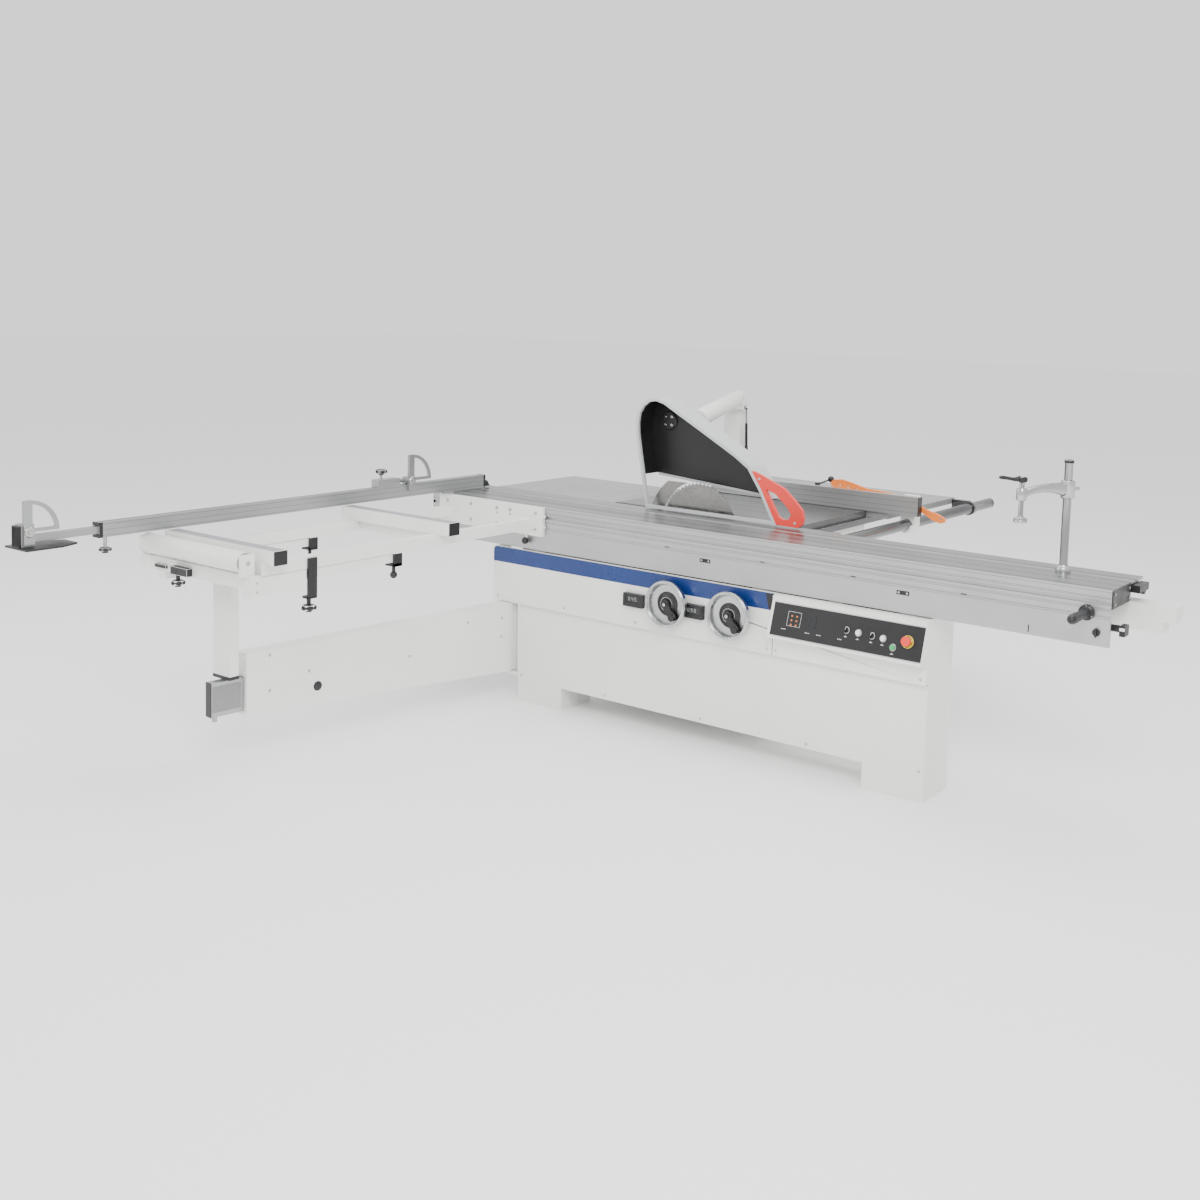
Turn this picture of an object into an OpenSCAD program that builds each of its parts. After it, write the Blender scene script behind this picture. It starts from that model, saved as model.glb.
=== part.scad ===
// Sliding-table panel saw: base, tables, saw unit, sliding carriage, crosscut frame, fences and guard.
// The origin is on the floor, at the middle of the front base's four floor-bolt holes.
// +X runs along the sliding carriage towards the operator's end, +Y goes from the sliding carriage to the
// rip-fence side, and +Z is up. All lengths are millimetres.

/* [Base] */
// Working height of all the table tops above the floor
table_h = 900; // [860:1:940]
// Length of the front base cabinet
base_l = 2000; // [1800:1:2400]
// Depth of the front base cabinet
base_d = 210; // [180:1:240]
// Height of the front base cabinet's top edge
base_top = 697; // [690:1:698]
// Height of the feet under both cabinets
foot_h = 100; // [60:1:140]
// Length of each foot along X
foot_l = 255; // [180:1:320]
// Sheet thickness of the cabinets
sheet = 4; // [3:0.5:8]
// Height of the seam where the upper cover begins
cover_seam = 450; // [400:1:500]
// How far the upper cover stands proud of the lower cabinet
cover_proud = 23; // [12:1:40]
// How far the upper cover reaches past the cabinet's left end, above the arm hinge
cover_wing = 140; // [110:1:180]
// Height of the coloured band along the cover's top
band_h = 68; // [40:1:100]
// Radius of the floor-bolt holes
bolt_hole_r = 7; // [5:0.5:10]
// Spacing of the floor bolts along X
bolt_x = 1750; // [1650:1:1780]
// Spacing of the floor bolts along Y
bolt_y = 120; // [80:1:130]

/* [Main body and tables] */
// Left end of the main body behind the front base
body_x0 = -750; // [-800:1:-700]
// Right end of the main body
body_x1 = 200; // [150:1:203]
// Depth of the main body behind the front base
body_d = 800; // [700:1:900]
// Thickness of the cast-iron table's plate
iron_t = 30; // [24:1:36]
// Length of the cast-iron table along X
iron_l = 952; // [900:1:1000]
// Width of the cast-iron table along Y
iron_w = 640; // [600:1:700]
// Thickness of the sheet extension tables
ext_t = 28; // [20:1:36]
// Length of the outfeed table along X
outfeed_l = 716; // [600:1:800]
// Width of the outfeed table along Y
outfeed_w = 585; // [500:1:640]
// Width of the side extension table along Y
side_w = 735; // [600:1:800]
// Length of the side extension table along X
side_l = 1060; // [1000:1:1100]

/* [Sliding carriage] */
// Length of the sliding carriage
carriage_l = 3200; // [2800:1:3400]
// Width of the sliding carriage's top
carriage_w = 350; // [330:1:370]
// Place of the carriage's middle along X at rest
carriage_mid = 50; // [0:1:100]
// Thickness of the carriage's thin flange beside the blade
flange_t = 10; // [8:1:12]
// Height of the lower apron on the carriage's front
apron_h = 104; // [90:1:106]
// Length of the fixed guide beam under the carriage
beam_l = 3270; // [3000:1:3400]
// Width of the fixed guide beam
beam_w = 130; // [110:1:140]
// Height of the fixed guide beam
beam_h = 66; // [50:1:70]
// Length of the intermediate roller carriage
roller_cage_l = 1500; // [1200:1:1600]

/* [Saw unit] */
// Diameter of the main blade
blade_d = 400; // [350:1:400]
// Thickness of the main blade
blade_t = 3.2; // [2.8:0.1:3.6]
// Number of teeth on the main blade
blade_teeth = 60; // [36:12:72]
// Height of the main blade above the tables at rest
blade_rise = 136; // [100:1:138]
// Gap from the carriage's edge to the middle of the blade
blade_gap = 17; // [16:1:24]
// Place of the main blade's axis along X
blade_x = -280; // [-320:1:-240]
// Diameter of the scoring blade
scorer_d = 120; // [100:1:125]
// Distance from the main blade's axis to the scoring blade's axis
scorer_gap = 295; // [285:1:310]
// Radius of the saw arbor
arbor_r = 12.5; // [10:0.5:15]
// Radial running clearance of shafts in their bores
run_fit = 0.06; // [0.02:0.01:0.1]
// Radius of the drive pulleys
pulley_r = 40; // [35:1:45]
// Radius of the main motor
motor_r = 80; // [70:1:85]

/* [Guard] */
// Width of the guard hood along Y
hood_w = 120; // [100:1:125]
// Height of the guard hood
hood_h = 495; // [450:1:520]
// Diameter of the guard's support arm
guard_arm_d = 80; // [60:1:90]
// Place of the guard post along Y
post_y = 1355; // [1200:1:1500]
// Height of the guard arm's pivot
arm_pivot_h = 1330; // [1280:1:1400]

/* [Rip fence] */
// Diameter of the fence's guide bar
bar_d = 50; // [40:1:55]
// Height of the rip-fence profile
rip_h = 86; // [70:1:100]
// Length of the rip-fence profile
rip_l = 1100; // [900:1:1200]
// Distance from the blade to the rip fence at rest
rip_rest = 628; // [500:1:700]

/* [Crosscut frame and fence] */
// Middle of the frame beam nearer the operator
near_x = -918; // [-960:1:-880]
// Spacing of the two frame beams
beam_gap = 502; // [440:1:520]
// Width of each frame beam
rail_w = 40; // [30:1:50]
// Height of each frame beam
rail_h = 46; // [36:1:48]
// Reach of the frame beams from the carriage
frame_reach = 1493; // [1300:1:1550]
// Diameter of the support roller at the frame's outer end
roller_d = 76; // [60:1:78]
// Length of the crosscut fence
fence_l = 2040; // [1900:1:2100]
// Height of the crosscut fence
fence_h = 56; // [50:1:70]
// Width of the crosscut fence
fence_w = 40; // [32:1:48]

/* [Swing arm] */
// Height of the swing arm at its hinge
arm_h0 = 317; // [280:1:330]
// Height of the swing arm at its outer end
arm_h1 = 236; // [200:1:260]
// Thickness of the swing arm
arm_t = 70; // [60:1:80]
// Height of the swing arm's top edge
arm_top = 447; // [440:1:448]
// Diameter of the swing arm's hinge pin
hinge_pin_d = 24; // [18:1:30]

/* [Workpiece clamp] */
// Diameter of the clamp's column
clamp_rod_d = 30; // [25:1:35]
// Height of the clamp's column above the carriage
clamp_rod_h = 394; // [300:1:400]
// Reach of the clamp's arm
clamp_reach = 245; // [200:1:300]

/* [Hidden] */
$fn = 48;
half_l = base_l / 2;
front_y = -base_d / 2;
back_y = base_d / 2;
cover_y = front_y - cover_proud;
white = [0.93, 0.93, 0.91];
alu = [0.74, 0.75, 0.76];
black = [0.06, 0.06, 0.06];
eps = 0.3;

module span(x, y, z) translate([x[0], y[0], z[0]]) cube([x[1] - x[0], y[1] - y[0], z[1] - z[0]]);
module rod_x(x, y, z, r) translate([x[0], y, z]) rotate([0, 90, 0]) cylinder(h = x[1] - x[0], r = r);
module rod_y(x, y, z, r) translate([x, y[0], z]) rotate([-90, 0, 0]) cylinder(h = y[1] - y[0], r = r);
module rod_z(x, y, z, r) translate([x, y, z[0]]) cylinder(h = z[1] - z[0], r = r);

// ---- Base cabinet, feet and covers ----
module base_cabinet() {
    rim = 30;
    // Hinge lugs and pin of the swing arm, welded to the left end
    color(white) {
        for (z = hinge_lugs) difference() {
            union() {
                span([hinge_x, -half_l], [hinge_y - 22, hinge_y + 22], z);
                rod_z(hinge_x, hinge_y, z, 24);
            }
            rod_z(hinge_x, hinge_y, [z[0] - 1, z[1] + 1], hinge_pin_d / 2 - 0.02);
        }
        rod_z(hinge_x, hinge_y, [hinge_lugs[0][0] - 6, hinge_lugs[1][1] + 6], hinge_pin_d / 2);
    }
    color(white) difference() {
        span([-half_l, half_l], [front_y, back_y], [foot_h, base_top]);
        span([-half_l + sheet, half_l - sheet], [front_y + sheet, back_y - sheet],
            [foot_h + sheet, base_top + 1]);
        span([body_x0 + rim, body_x1 - rim], [back_y - 2 * sheet, back_y + 1], [foot_h + rim, base_top + 1]);
        for (x = [tilt_wheel_x, lift_wheel_x]) rod_y(x, [front_y - 1, front_y + 2 * sheet], wheel_z,
            shaft_r + 1);
    }
}
module foot(x, y) {
    base_plate = 10;
    color(white) difference() {
        span(x, y, [0, foot_h]);
        span([x[0] + sheet, x[1] - sheet], [y[0] + sheet, y[1] - sheet], [base_plate, foot_h + 1]);
    }
}
module feet() {
    rear = 120;
    difference() {
        for (x = [[-half_l, foot_l - half_l], [half_l - foot_l, half_l]]) foot(x, [front_y, back_y]);
        for (x = [-1, 1], y = [-1, 1]) rod_z(x * bolt_x / 2, y * bolt_y / 2, [-1, foot_h / 2], bolt_hole_r);
    }
    for (x = [[body_x0, body_x0 + rear], [body_x1 - rear, body_x1]]) foot(x, [body_back - rear, body_back]);
}
module upper_cover() {
    x = [-half_l - cover_wing, half_l];
    color(white) difference() {
        union() {
            span(x, [cover_y, front_y], [cover_seam, base_top]);
            span([x[0], -half_l - hinge_clear], [front_y, front_y + 60], [arm_top + 12, base_top]);
        }
        span([x[0] - 1, console_x0 - 2], [cover_y - 1, cover_y + band_sink],
            [base_top - band_h, base_top + 1]);
        for (wx = [tilt_wheel_x, lift_wheel_x]) rod_y(wx, [cover_y - 1, front_y + 1], wheel_z,
            shaft_r + run_fit);
    }
}
band_sink = 3;
module colour_band() {
    round_r = 18;
    x0 = -half_l - cover_wing;
    color([0.07, 0.21, 0.44]) intersection() {
        span([x0, console_x0 - 2], [cover_y, cover_y + band_sink], [base_top - band_h, base_top]);
        union() {
            span([x0 + round_r, console_x0], [cover_y - 1, cover_y + 5], [base_top - band_h, base_top]);
            span([x0, console_x0], [cover_y - 1, cover_y + 5], [base_top - band_h, base_top - round_r]);
            rod_y(x0 + round_r, [cover_y - 1, cover_y + 5], base_top - round_r, round_r);
        }
    }
}

// ---- Control console ----
console_x0 = half_l - 655;
console_top = base_top - 4;
console_low = 540;
console_lip = 10;
console_out = 50;
panel_t = 3;
module control_console() {
    color(white) difference() {
        translate([console_x0, cover_y, 0]) rotate([90, 0, 90]) linear_extrude(half_l - console_x0)
            polygon([[0, console_low - 22], [-console_out, console_low - 8], [-console_out, console_low],
                [0 - console_lip, console_top - 16], [-console_lip, console_top], [0, console_top]]);
        panel_place() span([12, panel_l - 2], [-panel_t, 1], [6, panel_w - 6]);
        for (c = console_controls) panel_place() rod_y(c[0], [-40, 1], c[1], 5.5);
    }
}
panel_l = half_l - console_x0;
panel_w = norm([console_out - console_lip, console_top - 16 - console_low]);
panel_lean = atan((console_out - console_lip) / (console_top - 16 - console_low));
// Frame of the sloping panel: X along it, -Y out of it, Z up its slope
module panel_place() translate([console_x0, cover_y - console_out, console_low])
    rotate([-panel_lean, 0, 0]) mirror([0, 1, 0]) children();
// Place of each control along the panel and up it: two knobs, two white buttons, start and stop
console_controls = [[337, 76], [444, 72], [388, 74], [491, 70], [535, 44], [590, 74]];
readout_w = 100;
readout_h = 56;
module control_panel() {
    // Boxes of the two position readouts beside the handwheels
    color(black) for (x = [tilt_wheel_x - 240, lift_wheel_x - 242]) difference() {
        span([x, x + readout_w], [cover_y - 22, cover_y], [wheel_z - 46, wheel_z - 46 + readout_h]);
        span([x + 12, x + readout_w - 12], [cover_y - 23, cover_y - 20], [wheel_z - 26, wheel_z + 2]);
    }
    color(black) difference() {
        panel_place() span([12 + eps, panel_l - 2 - eps], [-panel_t, 0], [6 + eps, panel_w - 6 - eps]);
        for (c = console_controls) panel_place() rod_y(c[0], [-panel_t - 1, 1], c[1], 5.5);
    }
    color([0.95, 0.8, 0.1]) difference() {
        panel_place() rod_y(console_controls[5][0], [0.0, 1.6], console_controls[5][1], 22);
        panel_place() rod_y(console_controls[5][0], [-1, 3], console_controls[5][1], 5.5);
    }
}
module control(i, head_r, head, gap) panel_place() {
    rod_y(console_controls[i][0], [-12, gap + head], console_controls[i][1], 5);
    rod_y(console_controls[i][0], [gap, gap + head], console_controls[i][1], head_r);
}
module knob_bar(i, r, top) panel_place() translate([console_controls[i][0], top, console_controls[i][1]])
    rotate([0, 20, 0]) span([-3, 3], [0, 6], [-r, r]);
module selector_knob() color(black) { control(0, 11, 8, 0.4); knob_bar(0, 10.5, 8); }
module mode_knob() color(black) { control(1, 11, 8, 0.4); knob_bar(1, 10.5, 8); }
module white_button() color("white") control(2, 10, 3, 3.4);
module reset_button() color("white") control(3, 10, 3, 3.4);
module start_button() color([0.1, 0.6, 0.25]) control(4, 10, 3, 3.4);
module emergency_stop() color([0.8, 0.1, 0.08]) control(5, 18, 14, 7.8);

// ---- Handwheels with folding cranks ----
tilt_wheel_x = -142;
lift_wheel_x = 163;
wheel_z = 587;
wheel_r = 98;
wheel_back = cover_y - 24;
wheel_depth = 34;
shaft_r = 10;
crank_l = 62;
module handwheel(x) {
    front = wheel_back - wheel_depth;
    translate([x, 0, wheel_z]) rotate([90, 0, 0]) {
        color(alu) rotate_extrude() {
            polygon([[28, -wheel_back], [wheel_r - 14, -wheel_back], [wheel_r - 3, -wheel_back + 8],
                [wheel_r, -wheel_back + wheel_depth - 5], [wheel_r - 5, -front], [wheel_r - 10, -front - 3],
                [wheel_r - 20, -wheel_back + 12], [28, -wheel_back + 8]]);
        }
        color(black) translate([0, 0, -wheel_back - 2]) cylinder(h = 22, r = 29);
        translate([0, 0, -front_y - 40]) cylinder(h = 65 + wheel_depth, r = shaft_r);
    }
}
module tilt_handwheel() handwheel(tilt_wheel_x);
module lift_handwheel() handwheel(lift_wheel_x);
crank_y = wheel_back - 20.5;
module crank(x) {
    color(black) translate([x, 0, wheel_z]) rotate([0, -35, 0]) {
        rod_y(0, [crank_y - 10, crank_y], 0, 20);
        span([-15, 15], [crank_y - 12, crank_y], [-crank_l, 0]);
        rod_y(0, [crank_y - 16, crank_y], -crank_l, 15);
    }
}
module tilt_crank() crank(tilt_wheel_x);
module lift_crank() crank(lift_wheel_x);

// ---- Main body, extraction and tables ----
body_back = back_y + body_d;
body_top = table_h - 55;
module main_body() {
    y = [back_y, body_back];
    color(white) {
        difference() {
            span([body_x0, body_x1], y, [foot_h, body_top]);
            span([body_x0 + sheet, body_x1 - sheet], [y[0] - 1, y[1] - sheet],
                [foot_h + sheet, body_top + 1]);
            rod_y(spigot_x, [y[1] - 10, y[1] + 1], spigot_z, spigot_r - 3);
        }
        // Extraction spigot on the back panel
        difference() {
            rod_y(spigot_x, [y[1], y[1] + 90], spigot_z, spigot_r);
            rod_y(spigot_x, [y[1] - 1, y[1] + 91], spigot_z, spigot_r - 3);
        }
    }
}
spigot_x = -300;
spigot_z = 300;
spigot_r = 60;
blade_y = front_y + carriage_w + blade_gap;
table_y0 = blade_y + 6;
iron_x1 = body_x0 + iron_l + 3;
iron_x0 = iron_x1 - iron_l;
iron_y1 = table_y0 + iron_w;
module cast_table() {
    rib = 10;
    color([0.36, 0.36, 0.37]) {
        difference() {
            span([iron_x0, iron_x1], [table_y0, iron_y1], [table_h - iron_t, table_h]);
            // Relief under the table over the arbor's pulley
            span([blade_x - 60, blade_x + 60], [belt_y[0] - 10, belt_y[1] + 10],
                [table_h - 31, table_h - 14]);
        }
        // Side ribs stand on the main body's walls
        for (x = [iron_x0, iron_x1 - 3 * rib])
            span([x, x + 3 * rib], [table_y0 + 215, iron_y1], [body_top, table_h - iron_t]);
        trunnion_seats();
    }
}
module tray(x, y) {
    skin = 4;
    color([0.72, 0.73, 0.73]) difference() {
        span(x, y, [table_h - ext_t, table_h]);
        span([x[0] + skin, x[1] - skin], [y[0] + skin, y[1] - skin], [table_h - ext_t - 1, table_h - skin]);
    }
}
carriage_edge = front_y + carriage_w;
side_y = [iron_y1 + eps, iron_y1 + side_w];
module extension_tables() {
    tray([iron_x0 - outfeed_l, iron_x0 - eps], [carriage_edge + 3, carriage_edge + 3 + outfeed_w]);
    tray([iron_x0, iron_x0 + side_l], side_y);
    table_rails();
}
// Box rails under both extension tables, bolted to the cast table's edge and to the main body
bracket_h = 40;
module table_rails() {
    z = [table_h - ext_t - bracket_h, table_h - ext_t];
    color(white) {
        for (y = [carriage_edge + 90, carriage_edge + outfeed_w - 60])
            span([iron_x0 - outfeed_l + 60, body_x0], [y, y + 40], z);
        for (x = [iron_x0 + 80, iron_x0 + iron_l - 160])
            span([x, x + 50], [iron_y1, iron_y1 + side_w - 60], [z[0] - 24, z[1]]);
        span([iron_x0 - 3, iron_x0 + 81], [post_y - 40, post_y + 40], [z[0] - 24, z[1]]);
    }
}

// ---- Tilting saw unit ----
axis_z = table_h;
blade_z = table_h + blade_rise - blade_d / 2;
seat_r = 192;
trunnion_w = 28;
trunnion_x = [-690, 70];
// Ring sector about the tilt axis, from angle a0 to a1 measured from straight down towards the rip fence
module arc(x, r0, r1, a0, a1) {
    reach = 2 * r1;
    translate([x, blade_y, axis_z]) rotate([90, 0, 90]) linear_extrude(trunnion_w) intersection() {
        difference() { circle(r1, $fn = 96); circle(r0, $fn = 96); }
        polygon([[0, 0], [sin(a0), -cos(a0)] * reach, [sin((a0 + a1) / 2), -cos((a0 + a1) / 2)] * reach,
            [sin(a1), -cos(a1)] * reach]);
    }
}
module trunnion_seats() {
    for (x = trunnion_x) difference() {
        union() {
            arc(x, seat_r, seat_r + 28, 15, 88);
            span([x, x + trunnion_w], [blade_y + seat_r - 4, blade_y + seat_r + 40],
                [axis_z - 90, table_h - iron_t]);
        }
        span([x - 1, x + trunnion_w + 1], [blade_y, blade_y + 400], [table_h - iron_t, table_h + 1]);
        arc(x - 1, 0.1, seat_r, 0, 95);
        arc(x + 1, 0.1, seat_r, 0, 95);
    }
}
plate_y = [blade_y + 18, blade_y + 34];
slot_half = 34;
rod_x0 = -430;
rod_x1 = -110;
rod_y0 = plate_y[1] + 28;
lift_rod_r = 10;
rod_low = 530;
module tilt_frame() {
    top = 862;
    color([0.35, 0.36, 0.38]) {
        difference() {
            union() {
                span([trunnion_x[0], trunnion_x[1] + trunnion_w], plate_y, [rod_low, top]);
                for (x = trunnion_x) arc(x, seat_r - 40, seat_r - eps, 6, 74);
                for (x = [rod_x0, rod_x1], z = [rod_low, top - 14])
                    span([x - 16, x + 16], [plate_y[0], rod_y0 + 16], [z, z + 14]);
                span([scorer_x - 40, scorer_x + 40], [plate_y[0], plate_y[1] + 12], [740, 800]);
            }
            span([blade_x - slot_half, blade_x + slot_half], [plate_y[0] - 1, plate_y[1] + 1],
                [640, top + 1]);
            span([scorer_x - 22, scorer_x + 22], [plate_y[0] - 1, plate_y[1] + 20], [scorer_z - 54, top + 1]);
            // Slot for the riving knife's bracket over its whole lift
            span([knife_x - 26, knife_x + 18], [plate_y[0] - 1, plate_y[1] + 1], [606, top + 1]);
        }
        for (x = [rod_x0, rod_x1]) rod_z(x, rod_y0, [rod_low, top], lift_rod_r);
    }
}
housing_r = 28;
motor_x = -130;
motor_z = 650;
motor_plate = [-45, -33];
belt_y = [blade_y + 164, blade_y + 184];
module arbor_housing() {
    y = [rod_y0 - 16, rod_y0 + 16];
    color([0.3, 0.32, 0.35]) difference() {
        union() {
            rod_y(blade_x, [blade_y + 36, belt_y[0] - 4], blade_z, housing_r);
            span([rod_x0 - 24, motor_plate[1]], y, [710, 846]);
            span([motor_plate[0] - 15, motor_plate[1]], y, [580, 720]);
            span(motor_plate, [y[0], belt_y[1] + 210], [580, 720]);
            // Bracket that carries the riving knife behind the blade
            span([knife_x - 20, rod_x0], [y[0], y[1]], [740, 800]);
            span([knife_x - 20, knife_x + 12], [blade_y + 2, y[0]], [762, 800]);
        }
        rod_y(blade_x, [blade_y, belt_y[1]], blade_z, arbor_r + run_fit);
        for (x = [rod_x0, rod_x1]) rod_z(x, rod_y0, [500, 870], lift_rod_r + run_fit);
    }
}
module main_motor() {
    y = [belt_y[1] + 8, belt_y[1] + 200];
    color([0.2, 0.3, 0.35]) difference() {
        union() {
            rod_y(motor_x, y, motor_z, motor_r);
            span([motor_x + 40, motor_plate[0]], [y[0] + 30, y[1] - 20], [motor_z - 50, motor_z + 50]);
        }
        rod_y(motor_x, [y[0] - 1, y[0] + 60], motor_z, 12 + run_fit);
    }
}
module saw_arbor() {
    color("silver") {
        rod_y(blade_x, [blade_y - blade_t / 2 - 12, belt_y[1] + 4], blade_z, arbor_r);
        rod_y(blade_x, [blade_y + blade_t / 2, blade_y + blade_t / 2 + 6], blade_z, 32);
        rod_y(blade_x, [blade_y - blade_t / 2 - 6, blade_y - blade_t / 2], blade_z, 30);
        rod_y(blade_x, [blade_y - blade_t / 2 - 11, blade_y - blade_t / 2 - 6], blade_z, 19);
        rod_y(blade_x, belt_y, blade_z, pulley_r);
    }
}
// Toothed disc: a round body with one raked tooth for each gullet
module saw_disc(x, z, d, teeth, t) {
    tooth = 7;
    pitch = 360 / teeth;
    translate([x, blade_y + t / 2, z]) rotate([90, 0, 0]) linear_extrude(t) difference() {
        union() {
            circle(d / 2 - tooth, $fn = 120);
            for (i = [0 : teeth - 1]) rotate(i * pitch)
                polygon([[d / 2 - tooth - 2, 0], [d / 2, 0], [d / 2 - 1.5, tooth * 0.6],
                    [d / 2 - tooth - 2, tooth * 1.3]]);
        }
        circle(arbor_r, $fn = 48);
    }
}
module main_blade() color([0.62, 0.62, 0.62]) saw_disc(blade_x, blade_z, blade_d, blade_teeth, blade_t);
module motor_pulley() color("silver") {
    rod_y(motor_x, belt_y, motor_z, pulley_r);
    rod_y(motor_x, [belt_y[0], belt_y[1] + 60], motor_z, 12);
}
module belt_loop(r) {
    run = [blade_x - motor_x, blade_z - motor_z];
    circle(r, $fn = 72);
    translate(run) circle(r, $fn = 72);
    rotate(atan2(run[1], run[0])) translate([0, -r]) square([norm(run), 2 * r]);
}
module drive_belt() {
    color(black) translate([motor_x, belt_y[1] - 3, motor_z]) rotate([90, 0, 0])

                   linear_extrude(belt_y[1] - belt_y[0] - 6) difference() {
            belt_loop(pulley_r + 5);
            belt_loop(pulley_r + eps);
        }
}
knife_gap = 6;
knife_w = 66;
knife_x = blade_x - blade_d / 2 - 40;
module riving_knife() {
    inner = blade_d / 2 + knife_gap;
    color([0.66, 0.66, 0.66]) translate([blade_x, blade_y + 2, blade_z]) rotate([90, 0, 0])
        linear_extrude(2.8) difference() {
            intersection() {
                translate([-18, -10]) circle(inner + knife_w - 14, $fn = 120);
                translate([-400, -100]) square([375, 100 + blade_d / 2 - 6]);
            }
            circle(inner, $fn = 120);
        }
}
scorer_x = blade_x + scorer_gap;
scorer_z = table_h + 3 - scorer_d / 2;
module scoring_motor() {
    color([0.3, 0.32, 0.35]) difference() {
        union() {
            rod_y(scorer_x, [blade_y + 10, blade_y + 150], scorer_z, 20);
            rod_y(scorer_x, [plate_y[1] + 14, plate_y[1] + 130], scorer_z, 26);
        }
        rod_y(scorer_x, [blade_y, plate_y[1] + 100], scorer_z, 8 + run_fit);
    }
}
module scoring_blade() color([0.6, 0.6, 0.6]) {
    saw_disc_small();
    rod_y(scorer_x, [blade_y - 6, plate_y[1] + 98], scorer_z, 8);
    rod_y(scorer_x, [blade_y + 1.4, blade_y + 7], scorer_z, 20);
    rod_y(scorer_x, [blade_y - 6, blade_y - 1.4], scorer_z, 18);
}
module saw_disc_small() {
    teeth = 24;
    tooth = 5;
    translate([scorer_x, blade_y + 1.4, scorer_z]) rotate([90, 0, 0]) linear_extrude(2.8) difference() {
        union() {
            circle(scorer_d / 2 - tooth, $fn = 72);
            for (i = [0 : teeth - 1]) rotate(i * 360 / teeth)
                polygon([[scorer_d / 2 - tooth - 2, 0], [scorer_d / 2, 0], [scorer_d / 2 - tooth - 2, 7]]);
        }
        circle(8, $fn = 48);
    }
}

// ---- Guide beam, roller cage and sliding carriage ----
box_low = table_h - 65;
beam_top = table_h - 104;
beam_y = [front_y + 25, front_y + 25 + beam_w];
beam_x = [carriage_mid + carriage_l / 2 - 50 - beam_l + 190, carriage_mid + carriage_l / 2 - 50];
module guide_beam() {
    z = [beam_top - beam_h, beam_top];
    side = [back_y + 15, back_y + 95];
    color(white) {
        difference() {
            span(beam_x, beam_y, z);
            span([beam_x[0] + 10, beam_x[1] - 10], [beam_y[0] + 8, beam_y[1] - 8], [z[0] + 8, z[1] - 8]);
        }
        // Saddles that carry the beam on the front base
        for (x = [-half_l + 100, body_x1 + 50, half_l - 400, half_l - 100])
            span([x - 30, x + 30], [front_y + 16, back_y - sheet], [base_top - 60, z[0]]);
        // Side channel along the operator's half, held on brackets
        span([half_l - 400, beam_x[1] + 205], side, [z[0] + 42, z[0] + 97]);
        span([half_l - 400, beam_x[1] + 162], side, [z[0], z[0] + 42]);
        for (x = [half_l - 300, half_l + 60, beam_x[1] - 150])
            span([x, x + 60], [beam_y[1] - 1, side[0] + 1], [z[0] + 6, z[0] + 26]);
    }
    // Carriage latch on the beam's end
    color(black) {
        span([beam_x[1], beam_x[1] + 16], [beam_y[0] + 4, beam_y[0] + 40], [z[0] - 22, z[0] + 40]);
        rod_x([beam_x[1] + 16, beam_x[1] + 88], beam_y[0] + 24, z[0] + 34, 12);
        span([beam_x[1] + 70, beam_x[1] + 88], [beam_y[0] + 14, beam_y[0] + 60], [z[0] + 10, z[0] + 46]);
    }
}
track_r = (box_low - beam_top) / 2 - eps;
module roller_cage() {
    mid = carriage_mid + 100;
    x = [mid - roller_cage_l / 2, mid + roller_cage_l / 2];
    z = beam_top + eps + track_r;
    bars = [beam_y[0] + 12, beam_y[1] - 20];
    color([0.4, 0.4, 0.42]) {
        for (y = bars) span(x, [y, y + 8], [z - 9, z + 9]);
        for (i = [0 : 4]) {
            px = x[0] + 60 + i * (roller_cage_l - 120) / 4;
            rod_y(px, [bars[0] + 1, bars[1] + 1], z, 6);
            rod_y(px, [bars[0] + 14, bars[1] - 6], z, track_r);
        }
    }
}
module sliding_carriage() {
    x0 = carriage_mid - carriage_l / 2;
    f = front_y;
    lip = 12;
    z = [table_h - 198, table_h - 198 + apron_h];
    slot = [table_h - 52, table_h - 39];
    tee = [carriage_edge - 125, carriage_edge - 113];
    color(alu) translate([x0, 0, 0]) rotate([90, 0, 90]) linear_extrude(carriage_l) difference() {
        polygon([[f, z[0]], [f, z[1]], [f + 3, z[1]], [f + 3, z[1] + 4], [f, z[1] + 4], [f, slot[0]],
            [f + 9, slot[0]], [f + 9, slot[1]], [f, slot[1]], [f, table_h],
            [tee[0], table_h], [tee[0], table_h - 4], [tee[1], table_h - 4], [tee[1], table_h],
            [carriage_edge, table_h], [carriage_edge, table_h - flange_t], [95, table_h - flange_t],
            [90, table_h - flange_t - 5], [90, box_low], [f + lip, box_low], [f + lip, z[0]]]);
        polygon([[f + 16, box_low + 6], [f + 16, table_h - 10], [-14, table_h - 10], [-14, box_low + 6]]);
        polygon([[-8, box_low + 6], [-8, table_h - 10], [84, table_h - 10], [84, box_low + 6]]);
    }
}
carriage_x1 = carriage_mid + carriage_l / 2;
handle_x = carriage_x1 - 81;
handle_z = table_h - 85;
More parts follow.
